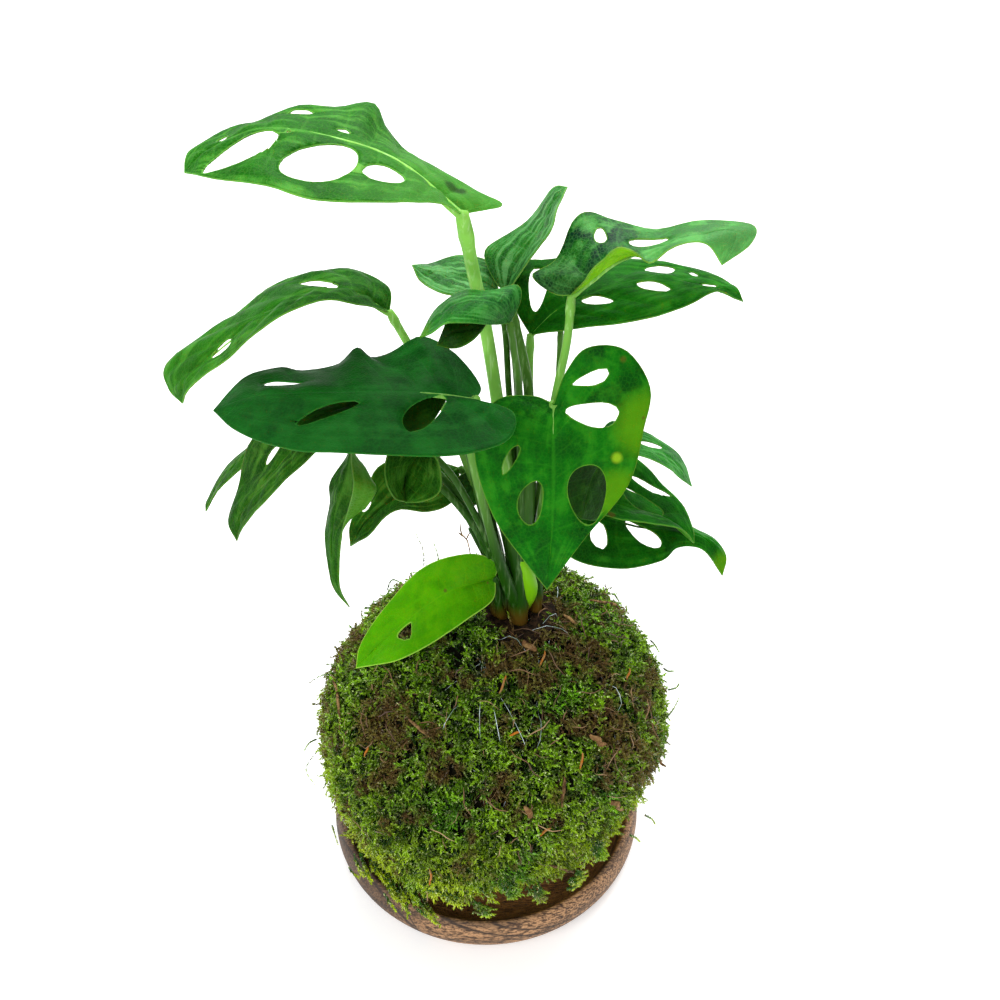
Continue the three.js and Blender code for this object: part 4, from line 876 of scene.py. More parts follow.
def stalk_material(name, dark, bright, streak):
    material, tree, shader = start_material(name, {
        "Specular IOR Level": 0.08, "Subsurface Weight": 0.1, "Subsurface Scale": 0.003})
    streaks = cloud(tree, place(tree, (900.0, 900.0, 60.0)), 1.0, 4.0, 0.6)
    drift = cloud(tree, place(tree), 45.0, 3.0)
    height_up = tree.nodes.new("ShaderNodeSeparateXYZ")
    tree.links.new(place(tree), height_up.inputs[0])
    level = height_up.outputs["Z"]
    # Painted light and shade: a stalk turns pale by its light tone only above 145 mm and is fully pale by 205 mm;
    # below that it keeps the dark colour of the shade in the bundle.
    lit = calc(tree, "MULTIPLY", reading(tree, "tone"), ease(tree, level, 0.145, 0.205))
    colour = mix(tree, lit, srgb(dark), srgb(bright))
    streak_share = calc(tree, "MULTIPLY", ease(tree, streaks, 0.5, 0.75), calc(tree, "MULTIPLY_ADD", lit, 0.45, 0.15))
    colour = mix(tree, streak_share, colour, srgb(streak))
    colour = tint(tree, ease(tree, drift, 0.45, 0.7), 0.35, colour, srgb(dark))
    low = fall(tree, level, 0.118, 0.128)
    colour = tint(tree, low, 0.85, colour, srgb("6A4A18"))
    tree.links.new(colour, shader.inputs["Base Color"])
    tree.links.new(bump(tree, streaks, 0.35, 0.0002), shader.inputs["Normal"])
    tree.links.new(calc(tree, "ADD", calc(tree, "MULTIPLY", drift, 0.25), 0.25), shader.inputs["Roughness"])
    return material


stalk_skin = stalk_material("stalk skin", "173F05", "88CA54", "C0E8A0")


def midrib_under(leaf, reach):
    along = np.linspace(0.03, reach, RIB_STEPS)
    spots = blade_point(leaf, along, np.zeros(RIB_STEPS))
    ups = np.array([blade_axes(leaf, t, 0.0)[1] for t in np.clip(along, 0.05, 0.95)])
    return spots - 0.55 * ups


for name, bundle in STEMS.items():
    bm = bmesh.new()
    layer, toned = bm.verts.layers.float.new("along"), bm.verts.layers.float.new("tone")
    t, route = laid_route(bundle["stem"], STEM_STEPS)
    knuckles = 1.0 + 0.16 * np.exp(-(((route[:, 2] - 124.0) / 2.0) ** 2)) - 0.75 * np.clip((t - 0.85) / 0.15, 0, 1)
    tube(bm, route, bundle["radius"] * knuckles, 16, layer)
    for radius, leaf_name, points in bundle["stalks"]:
        t, route = laid_route(points, STALK_STEPS)
        sheath = 1.0 + 0.75 * np.clip(1.0 - t / 0.38, 0, 1) ** 1.2
        radii = radius * (sheath - 0.1 * t + 0.22 * np.exp(-(((t - 0.94) / 0.03) ** 2)))
        radii[:3] *= (0.45, 0.75, 0.92)
        made = len(bm.verts)
        if leaf_name in LEAVES:
            rib = midrib_under(LEAVES[leaf_name], 0.8)
            size = np.linspace(0.62, 0.14, RIB_STEPS) * radius
            route, radii = np.vstack([route, rib]), np.concatenate([radii, size])
        elif leaf_name == "sheath":
            radii *= np.clip((1.0 - t) / 0.3, 0.1, 1.0)
        tube(bm, route, radii, 12, layer)
        bm.verts.ensure_lookup_table()
        for vert in bm.verts[made:]:
            vert[toned] = STALK_LIGHT_TONES.get(leaf_name, SHADED_TONE)
    bmesh.ops.recalc_face_normals(bm, faces=bm.faces)
    finish_object(name.replace("stems", "stalks"), bm, [stalk_skin], [name])

# %% [markdown]
# At the foot of the bundle one young leaf is still rolled in its sheath, a fat lime bud with a brown ring where
# the oldest leaf came off. It is one more tube, swollen in the middle.

# %% Leaf sheath
bm = bmesh.new()
layer = bm.verts.layers.float.new("along")
t, route = laid_route([(13.2, 1.5, 117), (13.6, 0.4, 121.5), (14.9, -2, 130.4), (14.1, -3, 137.8), (11.8, -3, 145),
                       (9.5, -2, 152.8)], 20)
radii = 0.5 + 2.4 * np.sin(np.pi * np.clip(0.16 + 0.8 * t, 0, 1)) ** 1.3
tube(bm, route, radii, 16, layer)
bmesh.ops.recalc_face_normals(bm, faces=bm.faces)
finish_object("leaf_sheath", bm, [stalk_material("sheath skin", "69A80A", "69A80A", "B8D86A")], [])

# %% [markdown]
# The saucer was turned on a lathe from one dark board: a rounded outer wall, a narrow lip and a shallow hollow.
# Its section is spun round the middle. The grain doesn't follow the turning: it runs straight through the board,
# so both finishes read Object coordinates squeezed along the grain, with slanting darker rings. A few late growth
# rings cut the wall as thin dark lines: each is a plane, given by the way it faces and its distance.

# %% Saucer
SAUCER_ROUTE = [(0, 0), (36, 0), (53, 0), (55.5, 0.7), (58, 3), (59.6, 6.2), (60, 9), (59.4, 12.6), (58.3, 15.4),
                (57.2, 16.7), (56.2, 16.8), (55.3, 16.1), (54, 13.4), (52, 10.2), (49, 7.4), (44, 5.5),
                (30, 5.0), (0, 5.0)]

wood_grain, given, put = group_tree(
    "wood grain", [("Light", "colour"), ("Dark", "colour"), ("Ring", "colour"), ("Slant", "value")],
    [("Colour", "colour"), ("Height", "value")])
fibres = cloud(wood_grain, place(wood_grain, (260.0, 1500.0, 1500.0), (0.0, 0.30, 0.25)), 1.0, 4.0, 0.6, 0.2)
pores = cloud(wood_grain, place(wood_grain, (900.0, 2600.0, 2600.0), (0.0, 0.30, 0.25)), 1.0, 2.0)
tone = cloud(wood_grain, place(wood_grain, (14.0, 60.0, 60.0), (0.0, 0.2, 0.3)), 1.0, 3.0)
rings = wood_grain.nodes.new("ShaderNodeTexWave")
rings.wave_type = "BANDS"
rings.bands_direction = "Z"
rings.inputs["Scale"].default_value = 36.0
rings.inputs["Distortion"].default_value = 5.0
rings.inputs["Detail"].default_value = 2.0
rings.inputs["Detail Scale"].default_value = 0.7
wood_grain.links.new(place(wood_grain, (0.5, 0.6, 1.0), (0.35, 0.24, 0.0)), rings.inputs["Vector"])
ring_line = ease(wood_grain, rings.outputs["Fac"], 0.78, 0.98)
colour = mix(wood_grain, ease(wood_grain, fibres, 0.38, 0.60), given["Dark"], given["Light"])
colour = tint(wood_grain, ease(wood_grain, tone, 0.5, 0.75), 0.3, colour, given["Dark"])
# Painted shade: the left side of the saucer (towards -x) is darkened towards the Ring colour, where the wall lies in
# shadow.
sideways = wood_grain.nodes.new("ShaderNodeSeparateXYZ")
wood_grain.links.new(place(wood_grain), sideways.inputs[0])
heart = fall(wood_grain, sideways.outputs["X"], -0.046, -0.012)
colour = tint(wood_grain, heart, 0.72, colour, given["Ring"])
colour = tint(wood_grain, ring_line, given["Slant"], colour, given["Ring"])
speck = fall(wood_grain, pores, 0.38, 0.46)
colour = tint(wood_grain, speck, 0.7, colour, given["Ring"])
feed(wood_grain, put["Colour"], colour)
feed(wood_grain, put["Height"], calc(wood_grain, "SUBTRACT", fibres, calc(wood_grain, "MULTIPLY", speck, 0.6)))


WALL_STREAKS = [((0.235, 0.055, 0.971), 9.87, 0.7), ((0.716, 0.543, 0.44), -44.4, 0.8),
                ((0.716, 0.543, 0.44), -52.0, 0.5), ((0.3, -0.1, 0.95), 22.5, 0.5), ((0.9, 0.2, 0.4), -30.0, 0.5)]


def wood_material(name, light, dark, ring, slant, roughness, streaks=()):
    material, tree, shader = start_material(name, {"Roughness": roughness})
    grain = use_group(tree, wood_grain, {"Light": srgb(light), "Dark": srgb(dark), "Ring": srgb(ring),
                                         "Slant": slant})
    colour, here = grain["Colour"], place(tree)
    for side_on, level, half in streaks:
        level_at = tree.nodes.new("ShaderNodeVectorMath")
        level_at.operation = "DOT_PRODUCT"
        tree.links.new(here, level_at.inputs[0])
        level_at.inputs[1].default_value = side_on
        off = calc(tree, "ABSOLUTE", calc(tree, "SUBTRACT", level_at.outputs["Value"], level * MM))
        line = fall(tree, off, 0.3 * half * MM, half * MM)
        colour = tint(tree, line, 0.8, colour, srgb(ring))
    tree.links.new(colour, shader.inputs["Base Color"])
    tree.links.new(bump(tree, grain["Height"], 0.6, 0.0003), shader.inputs["Normal"])
    return material


bm = bmesh.new()
section = [bm.verts.new((radius, 0.0, height)) for radius, height in SAUCER_ROUTE]
edges = [bm.edges.new(pair) for pair in zip(section, section[1:])]
bmesh.ops.spin(bm, geom=section + edges, cent=(0, 0, 0), axis=(0, 0, 1), angle=2 * math.pi, steps=96,
               use_merge=True)
bmesh.ops.remove_doubles(bm, verts=bm.verts, dist=0.01)
bmesh.ops.recalc_face_normals(bm, faces=bm.faces)
for face in bm.faces:
    middle = face.calc_center_median()
    inward = face.normal.x * middle.x + face.normal.y * middle.y < 0.05
    face.material_index = int(inward and middle.z > 4.0)
saucer = finish_object("turned_saucer", bm, [
    wood_material("turned wood wall", "BA8C60", "4A2F18", "241408", 0.45, 0.6, WALL_STREAKS),
    wood_material("turned wood hollow", "9C6C38", "5A381A", "28170A", 0.7, 0.45)], ["saucer"])
smooth = saucer.modifiers.new("smooth", "SUBSURF")
smooth.levels = smooth.render_levels = 1

# %% [markdown]
# Under the living moss the ball is a mat of old stems and soil. It only shows in the gaps between the shoots, so
# it is one rounded sphere, lumpy and nearly black: the dark of old stems and also painted shade for the deep gaps.
# It is pressed flat where it sits in the saucer. The damp soil round the stems is the model's own solid with a
# crumbly finish.

# %% Soil and old moss mat
BALL_CENTRE = np.array([4.0, -4.0, 62.0])
BALL_RADIUS = 64.0
BALL_HALF_HEIGHT = 59.5
MAT_LIFT = -4.6
SAUCER_FLOOR = 5.3
SOIL_TOP = 116.6
CROWN_BASE = 100.0
STEMS_AT = (11.0, -1.0)
HOLLOW_DIRECTION = np.array([0.55, -0.65, -0.52]) / np.linalg.norm([0.55, -0.65, -0.52])


def ball_place(directions, lift):
    x, y, z = directions.T
    lump = 0.9 * (np.sin(5 * x + 1.3) * np.cos(4 * y - 0.4) + 0.6 * np.sin(7 * z + 3 * x + 2))
    near = np.clip((directions @ HOLLOW_DIRECTION - 0.47) / 0.47, 0.0, 1.0)
    tight = 0.9 * np.abs(x) ** 2 + 0.9 * np.maximum(x, 0.0) ** 2
    reach = (lift + lump - tight - 8.0 * near**2 * (3.0 - 2.0 * near))[:, None]
    return BALL_CENTRE + directions * (np.array([BALL_RADIUS, BALL_RADIUS, BALL_HALF_HEIGHT]) + reach)


def from_stems(spots):
    return np.hypot(spots[..., 0] - STEMS_AT[0], spots[..., 1] - STEMS_AT[1])


def earthy_material(name, dark, light, scale, roughness):
    material, tree, shader = start_material(name, {"Roughness": roughness, "Specular IOR Level": 0.1})
    crumbs = cloud(tree, place(tree), scale, 5.0, 0.65)
    tree.links.new(mix(tree, ease(tree, crumbs, 0.4, 0.65), srgb(dark), srgb(light)), shader.inputs["Base Color"])
    tree.links.new(bump(tree, crumbs, 0.9, 0.0015), shader.inputs["Normal"])
    return material


frame["nodes"]["soil_core"].data.materials.clear()
frame["nodes"]["soil_core"].data.materials.append(earthy_material("damp soil", "140D08", "3B291A", 500.0, 0.8))

bm = bmesh.new()
bmesh.ops.create_icosphere(bm, subdivisions=6, radius=1.0)
directions = np.array([vert.co.normalized() for vert in bm.verts])
places = ball_place(directions, np.full(len(directions), MAT_LIFT))
for vert, spot in zip(bm.verts, places):
    grain = noise.noise(Vector(spot) * 0.5) * 0.7 + noise.noise(Vector(spot) * 0.16) * 0.9
    vert.co = Vector(spot) + vert.co.normalized() * grain
    crown = from_stems(spot)
    if spot[2] > CROWN_BASE and crown < 15.0:
        vert.co.z = min(vert.co.z, SOIL_TOP + 0.02 * crown**2)
    vert.co.z = max(vert.co.z, SAUCER_FLOOR)
# Painted shade: the mat is nearly black, the dark of old stems and the shade of the gaps between shoots.
finish_object("moss_mat", bm, [earthy_material("old moss and gap shade", "050702", "181609", 260.0, 0.9)], ["moss_jacket"])

# %% [markdown]
# Moss shoots are tiny feathers: a creeping axis with side branches, and round every branch small pointed
# leaflets. One leaflet is a single triangle with its point ahead, so a whole shoot takes a few dozen faces. Ten
# different shoots are drawn by a seeded generator and then stamped thousands of times on the ball. A particle
# system would do that in fewer lines, but particles don't survive the export.


# %% Moss shoot shapes
LEAFLET_DROOP = math.radians(33)
LEAFLET_TURN = 2.4
LEAFLET_WIDTH = 0.58
AXIS_LEAFLETS, SIDE_LEAFLETS = 24, 6
FEATHER_LENGTH, STRING_LENGTH = 7.4, 9.0


def add_leaflet(bm, layer, spot, ahead, roll, length, width, tip):
    turn = ahead.to_track_quat("X", "Z").to_matrix().to_4x4() @ Matrix.Rotation(roll, 4, "X")
    made = bmesh.ops.create_circle(bm, cap_ends=True, segments=3, radius=1.0)["verts"]
    bmesh.ops.rotate(bm, verts=made, cent=(0, 0, 0), matrix=Matrix.Rotation(-math.pi / 2, 3, "Z"))
    bmesh.ops.translate(bm, verts=made, vec=(0.5, 0.0, 0.0))
    # The forward corner reads further along the shoot than the others, so the point of every leaflet is painted
    # lighter: partly the colour of a young tip, partly a painted highlight.
    for vert in made:
        vert[layer] = tip + 0.3 * (vert.co.x - 0.5)
    bmesh.ops.scale(bm, verts=made, vec=(length / 1.5, width / 1.732, 1.0))
    bmesh.ops.rotate(bm, verts=made, cent=(0, 0, 0), matrix=Matrix.Rotation(-LEAFLET_DROOP, 3, "Y"))
    bmesh.ops.transform(bm, verts=made, matrix=Matrix.Translation(spot) @ turn)


def add_branch(bm, layer, start, ahead, bend, length, count, size, tips, roll):
    spot, step = start.copy(), length / count
    for number in range(count):
        t = (number + 1) / count
        ahead = (ahead + bend * step).normalized()
        spot = spot + ahead * step
        roll += LEAFLET_TURN
        taper = 1.0 - 0.4 * t**2
        add_leaflet(bm, layer, spot, ahead, roll, size * taper, LEAFLET_WIDTH * size * taper,
                    tips[0] + (tips[1] - tips[0]) * t)
    return spot, ahead


def shape_arrays(bm, layer):
    bm.verts.index_update()
    arrays = {
        "corners": np.array([vert.co for vert in bm.verts]),
        "faces": np.array([[vert.index for vert in face.verts] for face in bm.faces]),
        "tip": np.array([vert[layer] for vert in bm.verts])}
    bm.free()
    return arrays


def moss_shoot(seed, branches, length):
    dice = np.random.default_rng(seed)
    bm = bmesh.new()
    layer = bm.verts.layers.float.new("tip")
    spot, ahead = Vector((0, 0, 0)), Vector((1, 0, 0.15)).normalized()
    pieces = max(branches, 4)
    for part in range(pieces):
        low, high = 0.05 + 0.8 * part / pieces, 0.05 + 0.8 * (part + 1) / pieces
        bend = Vector((0, dice.normal(0, 0.12), dice.uniform(-0.1, 0.05)))
        spot, ahead = add_branch(bm, layer, spot, ahead, bend, length / pieces, AXIS_LEAFLETS // pieces, 1.5,
                                 (low, high), part)
        if branches:
            side = 1.0 if part % 2 else -1.0
            out = (ahead + Vector((0, side * dice.uniform(0.7, 1.4), dice.uniform(-0.1, 0.7)))).normalized()
            add_branch(bm, layer, spot, out, Vector((0.1, 0, -0.05)), dice.uniform(1.5, 3.0) * (1.1 - 0.4 * high),
                       SIDE_LEAFLETS, 1.35, (low + 0.1, min(1.0, high + 0.25)), part)
    return shape_arrays(bm, layer)


FEATHERS = [moss_shoot(seed, 6, FEATHER_LENGTH) for seed in range(6)]
STRINGS = [moss_shoot(seed, 0, STRING_LENGTH) for seed in range(20, 24)]
print("faces in one shoot:", len(FEATHERS[0]["faces"]), "or", len(STRINGS[0]["faces"]))

# %% [markdown]
# Stamping needs one matrix for each copy: where it roots, which way it creeps and how far it lifts. On the lower
# half the shoots hang down, on top they lie in all directions. A copy that would grow through the wooden lip is
# dropped. Tufts that hang free over the saucer are given by a root and a tip, and each is ten shoots that end
# near the tip.


# %% Moss placing
LIP_INSIDE, LIP_CLEARANCE, HOLLOW_CLEARANCE = 48.5, 18.5, 7.0
FRONT_LIMIT, BACK_LIMIT = -69.5, 59.5
LONGEST_REACH = 10.0


def even_directions(count, dice):
    steps = np.arange(count) + 0.5
    z = 1.0 - 2.0 * steps / count
    turn = steps * math.pi * (3.0 - math.sqrt(5.0))
    flat = np.sqrt(1.0 - z**2)
    spots = np.stack([flat * np.cos(turn), flat * np.sin(turn), z], axis=1)
    spots += dice.normal(0.0, 0.6 / math.sqrt(count), spots.shape)
    return spots / np.linalg.norm(spots, axis=1)[:, None]


def growing_frames(directions, heading, lift, roll, size):
    level = np.cross(np.tile([0.0, 0.0, 1.0], (len(directions), 1)), directions)
    level /= np.maximum(np.linalg.norm(level, axis=1), 1e-6)[:, None]
    downhill = np.cross(level, directions)
    downhill *= np.where(downhill[:, 2:3] > 0, -1.0, 1.0)
    creep = np.cos(heading)[:, None] * level + np.sin(heading)[:, None] * downhill
    ahead = np.cos(lift)[:, None] * creep + np.sin(lift)[:, None] * directions
    side = np.cross(directions, ahead)
    side /= np.linalg.norm(side, axis=1)[:, None]
    up = np.cross(ahead, side)
    c, s = np.cos(roll)[:, None], np.sin(roll)[:, None]
    turned_side, turned_up = c * side + s * up, c * up - s * side
    return np.stack([ahead, turned_side, turned_up], axis=2) * size[:, None, None]


def stamp(name, shapes, choice, axes, roots, readings, material):
    corners, faces, tips, extra, start = [], [], [], {key: [] for key in readings}, 0
    for number, shape in enumerate(shapes):
        group = np.flatnonzero(choice == number)
        count = len(shape["corners"])
        spots = np.einsum("nij,vj->nvi", axes[group], shape["corners"]) + roots[group][:, None, :]
        corners.append(spots.reshape(-1, 3))
        offsets = start + np.arange(len(group)) * count
        faces.append((shape["faces"][None] + offsets[:, None, None]).reshape(-1, shape["faces"].shape[1]))
        tips.append(np.tile(shape["tip"], len(group)))
        for key, values in readings.items():
            extra[key].append(np.repeat(values[group], count))
        start += len(group) * count
    corners, faces = np.concatenate(corners) * MM, np.concatenate(faces)
    mesh = bpy.data.meshes.new(name)
    mesh.vertices.add(len(corners))
    mesh.vertices.foreach_set("co", corners.ravel())
    mesh.loops.add(faces.size)
    mesh.loops.foreach_set("vertex_index", faces.ravel())
    mesh.polygons.add(len(faces))
    mesh.polygons.foreach_set("loop_start", np.arange(0, faces.size, faces.shape[1]))
    mesh.update(calc_edges=True)
    for key, values in {"tip": np.concatenate(tips), **{k: np.concatenate(v) for k, v in extra.items()}}.items():
        mesh.attributes.new(key, "FLOAT", "POINT").data.foreach_set("value", values.astype(np.float32))
    return place_object(name, mesh, [material], [])


def clear_of_saucer(axes, roots, reach):
    tips = roots + axes[:, :, 0] * reach
    radius = np.hypot(tips[:, 0], tips[:, 1])
    over_lip = (radius > LIP_INSIDE) & (tips[:, 2] < LIP_CLEARANCE)
    return (tips[:, 2] > HOLLOW_CLEARANCE) & ~over_lip & (tips[:, 1] > FRONT_LIMIT) & (tips[:, 1] < BACK_LIMIT)


def hanging_frames(tufts, per_tuft, dice):
    axes, roots = [], []
    for root, tip in np.repeat(np.array(tufts), per_tuft, axis=0):
        ahead = (tip - root) / np.linalg.norm(tip - root) + dice.normal(0, 0.16, 3)
        ahead /= np.linalg.norm(ahead)
        side = np.cross((tip - BALL_CENTRE) / BALL_RADIUS, ahead)
        side /= np.linalg.norm(side)
        size = dice.uniform(0.75, 1.05)
        axes.append(np.stack([ahead, side, np.cross(ahead, side)], axis=1) * size)
        roots.append(tip - ahead * (FEATHER_LENGTH * size + dice.uniform(0.0, 6.0)) + dice.normal(0, 0.6, 3))
    return np.array(axes), np.array(roots)


print("stamping helpers ready")

# %% [markdown]
# The colour of the moss changes along each shoot and over the ball. Growing tips are a bright yellow green, the
# older parts a dark bottle green, and dry patches turn brown, most of all high on the ball, where it dries first.
# Painted shade darkens the moss high on the ball, under the leaves, and leaves it brighter low down, and tiny
# near-white specks are painted on as highlights. The wet leaflets shine, so the roughness stays low.

# %% Moss finish
moss_green, tree, shader = start_material("living moss", {"Specular IOR Level": 0.25})
here = place(tree)
where = tree.nodes.new("ShaderNodeSeparateXYZ")
tree.links.new(here, where.inputs[0])
height = ease(tree, where.outputs["Z"], 0.02, 0.10)
tip = reading(tree, "tip")
age = reading(tree, "age")
patch = cloud(tree, here, 48.0, 3.0, 0.6)
# Painted shade and light: with height both colours turn darker, as the moss high on the ball lies under the leaves,
# and brighter low down.
young = mix(tree, height, srgb("D2E42A"), srgb("8ABA1C"))
young = mix(tree, ease(tree, patch, 0.45, 0.7), young, srgb("5CA816"))
old = mix(tree, height, srgb("306404"), srgb("1A3A04"))
colour = mix(tree, ease(tree, tip, 0.3, 0.95), old, young)
colour = tint(tree, age, 0.8, colour, srgb("102802"))
# Painted highlights: rare near-white specks on the moss, weaker on old shoots.
highlight_specks = ease(tree, cloud(tree, here, 1000.0, 2.0), 0.61, 0.66)
painted_highlights = calc(tree, "MULTIPLY", highlight_specks, calc(tree, "SUBTRACT", 0.8, calc(tree, "MULTIPLY", age, 0.6)))
colour = mix(tree, painted_highlights, colour, srgb("F0F8B8"))
dry_level = calc(tree, "ADD", cloud(tree, here, 95.0, 4.0, 0.6), calc(tree, "MULTIPLY", height, 0.10))
dry = ease(tree, calc(tree, "ADD", dry_level, calc(tree, "MULTIPLY", reading(tree, "dry"), 0.24)), 0.60, 0.74)
colour = tint(tree, dry, 0.8, colour, srgb("66482A"))
tree.links.new(colour, shader.inputs["Base Color"])
tree.links.new(calc(tree, "ADD", calc(tree, "MULTIPLY", age, 0.3), 0.22), shader.inputs["Roughness"])

# %% [markdown]
# The ball is planted band by band, from the foot to the crown, so that no single mesh grows too large. Evenly
# spread roots with a little disorder leave fewer bald spots than pure chance would. Low shoots hang down like
# real moss does, and those in the dry places are marked for the finish.

# %% Moss shoots
SHOOTS = 11500
SHOOTS_PER_TUFT = 10
DRY_PLACES = [((-55.5, 12.5, 84.5), 15.0), ((-33.5, -34.9, 101.6), 12.0), ((44.5, -33.5, 99.9), 12.0),
              ((-50.0, -39.0, 57.2), 9.0), ((57.5, -33.0, 82.1), 11.0), ((20.0, -12.0, 119.0), 14.0)]

TUFTS = [((-44.5, -44.8, 45.8), (-39.2, -54.2, 40.8)), ((-37.9, -47.2, 43.4), (-33.3, -55.5, 39.2)),
         ((-34.2, -51.3, 41.1), (-29.0, -60.5, 36.8)), ((-32.0, -53.6, 39.8), (-25.1, -64.0, 35.1)),
         ((-27.9, -53.3, 39.3), (-21.8, -61.3, 35.6)), ((-25.1, -55.6, 38.1), (-15.8, -66.4, 33.4)),
         ((-15.7, -63.2, 58.4), (-11.8, -63.9, 45.3)), ((-12.4, -64.2, 59.0), (-8.6, -62.5, 39.7)),
         ((-7.8, -64.9, 55.3), (1.3, -63.7, 36.3)), ((4.1, -66.3, 66.1), (11.4, -67.1, 51.4)),
         ((11.2, -66.0, 65.5), (19.5, -64.5, 46.9)), ((24.3, -63.0, 64.3), (33.9, -55.5, 41.3)),
         ((34.7, -57.4, 71.7), (40.3, -54.0, 54.8))]


def dryness(spots):
    gaps = [np.linalg.norm(spots - np.array(centre), axis=1) / size for centre, size in DRY_PLACES]
    return np.exp(-np.min(gaps, axis=0) ** 2)


dice = np.random.default_rng(7)
directions = even_directions(SHOOTS, dice)
roots = ball_place(directions, dice.uniform(-4.4, -2.8, len(directions)))
keep = (roots[:, 2] > 12.0) & ~((from_stems(roots) < 11.5) & (roots[:, 2] > CROWN_BASE))
directions, roots = directions[keep], roots[keep]
count = len(roots)
lowness = np.clip((75.0 - roots[:, 2]) / 45.0, 0.0, 1.0)
heading = np.where(dice.random(count) < 0.35 + 0.55 * lowness, dice.normal(math.pi / 2, 0.7, count),
                   dice.uniform(0, 2 * math.pi, count))
lift = np.radians(dice.uniform(4.0, 30.0, count) + 5.0 * lowness)
size = dice.uniform(0.7, 1.15, count)
axes = growing_frames(directions, heading, lift, dice.normal(0, 0.5, count), size)
age = dice.random(count) ** 1.5
choice = dice.choice(10, count, p=[0.13] * 6 + [0.055] * 4)
clear = clear_of_saucer(axes, roots, LONGEST_REACH)
bands = [("moss_foot", 0.0, 34.0), ("moss_low", 34.0, 54.0), ("moss_middle", 54.0, 74.0),
         ("moss_high", 74.0, 95.0), ("moss_crown", 95.0, 200.0)]
for name, low, high in bands:
    part = clear & (roots[:, 2] >= low) & (roots[:, 2] < high)
    stamp(name, FEATHERS + STRINGS, choice[part], axes[part], roots[part],
          {"age": age[part], "dry": dryness(roots[part])}, moss_green)
dice = np.random.default_rng(23)
axes, roots = hanging_frames(TUFTS, SHOOTS_PER_TUFT, dice)
stamp("hanging_tufts", FEATHERS, dice.integers(0, 6, len(roots)), axes, roots,
      {"age": 0.5 * dice.random(len(roots)), "dry": np.zeros(len(roots))}, moss_green)

# %% [markdown]
# Dry fibres of coir and old roots lie over and between the shoots, with a few twigs and flakes of bark. A fibre
# is a narrow strip of a few squares, bent by its own random arc, and stamped like the moss.


# %% Fibres
def fibre_shape(seed, length, width, cells):
    dice = np.random.default_rng(seed)
    bm = bmesh.new()
    layer = bm.verts.layers.float.new("tip")
    bmesh.ops.create_grid(bm, x_segments=cells, y_segments=1, size=0.5)
    bend, twist = dice.uniform(-1.2, 1.2), dice.uniform(-2.0, 2.0)
    for vert in bm.verts:
        t = vert.co.x + 0.5
        vert[layer] = t
        slim = 1.0 - 0.7 * abs(2 * t - 1) ** 3
        swing = bend * math.sin(math.pi * t) + 0.2 * math.sin(9.0 * t + twist)
        rise = 0.9 * math.sin(math.pi * t) + 0.2 * twist * t
        vert.co = Vector((t * length, vert.co.y * width * slim + swing, rise))
    return shape_arrays(bm, layer)


fibre_skin, tree, shader = start_material("dry fibre", {"Roughness": 0.6})
age = reading(tree, "age")
colour = mix(tree, ease(tree, age, 0.0, 0.6), srgb("4A3020"), srgb("7C5834"))
colour = mix(tree, ease(tree, age, 0.7, 1.0), colour, srgb("B09064"))
grit = cloud(tree, place(tree), 900.0, 2.0)
colour = tint(tree, grit, 0.5, colour, srgb("3A2414"))
tree.links.new(colour, shader.inputs["Base Color"])

FIBRE_SEEDS, FIBRE_WIDTH, FIBRE_CELLS = 1800, 0.34, 6
FIBRE_LENGTHS = 4.0, 6.0, 8.0, 10.0, 5.0, 7.0
FIBRES = [fibre_shape(seed, length, FIBRE_WIDTH, FIBRE_CELLS) for seed, length in enumerate(FIBRE_LENGTHS)]
dice = np.random.default_rng(11)
directions = even_directions(FIBRE_SEEDS, dice)
patchy = np.array([noise.noise(Vector(d) * 3.2) for d in directions])
patchy += 0.9 * dryness(ball_place(directions, np.zeros(len(directions)))) - 0.12
directions = directions[(patchy + dice.normal(0, 0.18, len(patchy)) + 0.2 * directions[:, 2] > 0.1)]
roots = ball_place(directions, dice.uniform(-2.0, 0.9, len(directions)))
keep = (roots[:, 2] > 16.0) & ~((from_stems(roots) < 6.0) & (roots[:, 2] > CROWN_BASE))
directions, roots = directions[keep], roots[keep]
count = len(roots)
axes = growing_frames(directions, dice.uniform(0, 6.3, count), np.radians(dice.uniform(-6, 16, count)),
                      dice.normal(0, 0.8, count), dice.uniform(0.6, 1.2, count))
clear = clear_of_saucer(axes, roots, LONGEST_REACH)
stamp("dry_fibres", FIBRES, dice.integers(0, 6, count)[clear], axes[clear], roots[clear],
      {"age": dice.random(count)[clear]}, fibre_skin)

# %% [markdown]
# What lies loose on the moss is placed one by one: a few bits of twig, orange pine needles and flakes of bark,
# and the long moss strands that stray past the outline. Each has its own short route over the ball. A strand is
# the moss branch from above, bent along its route, and twigs and needles are tubes.

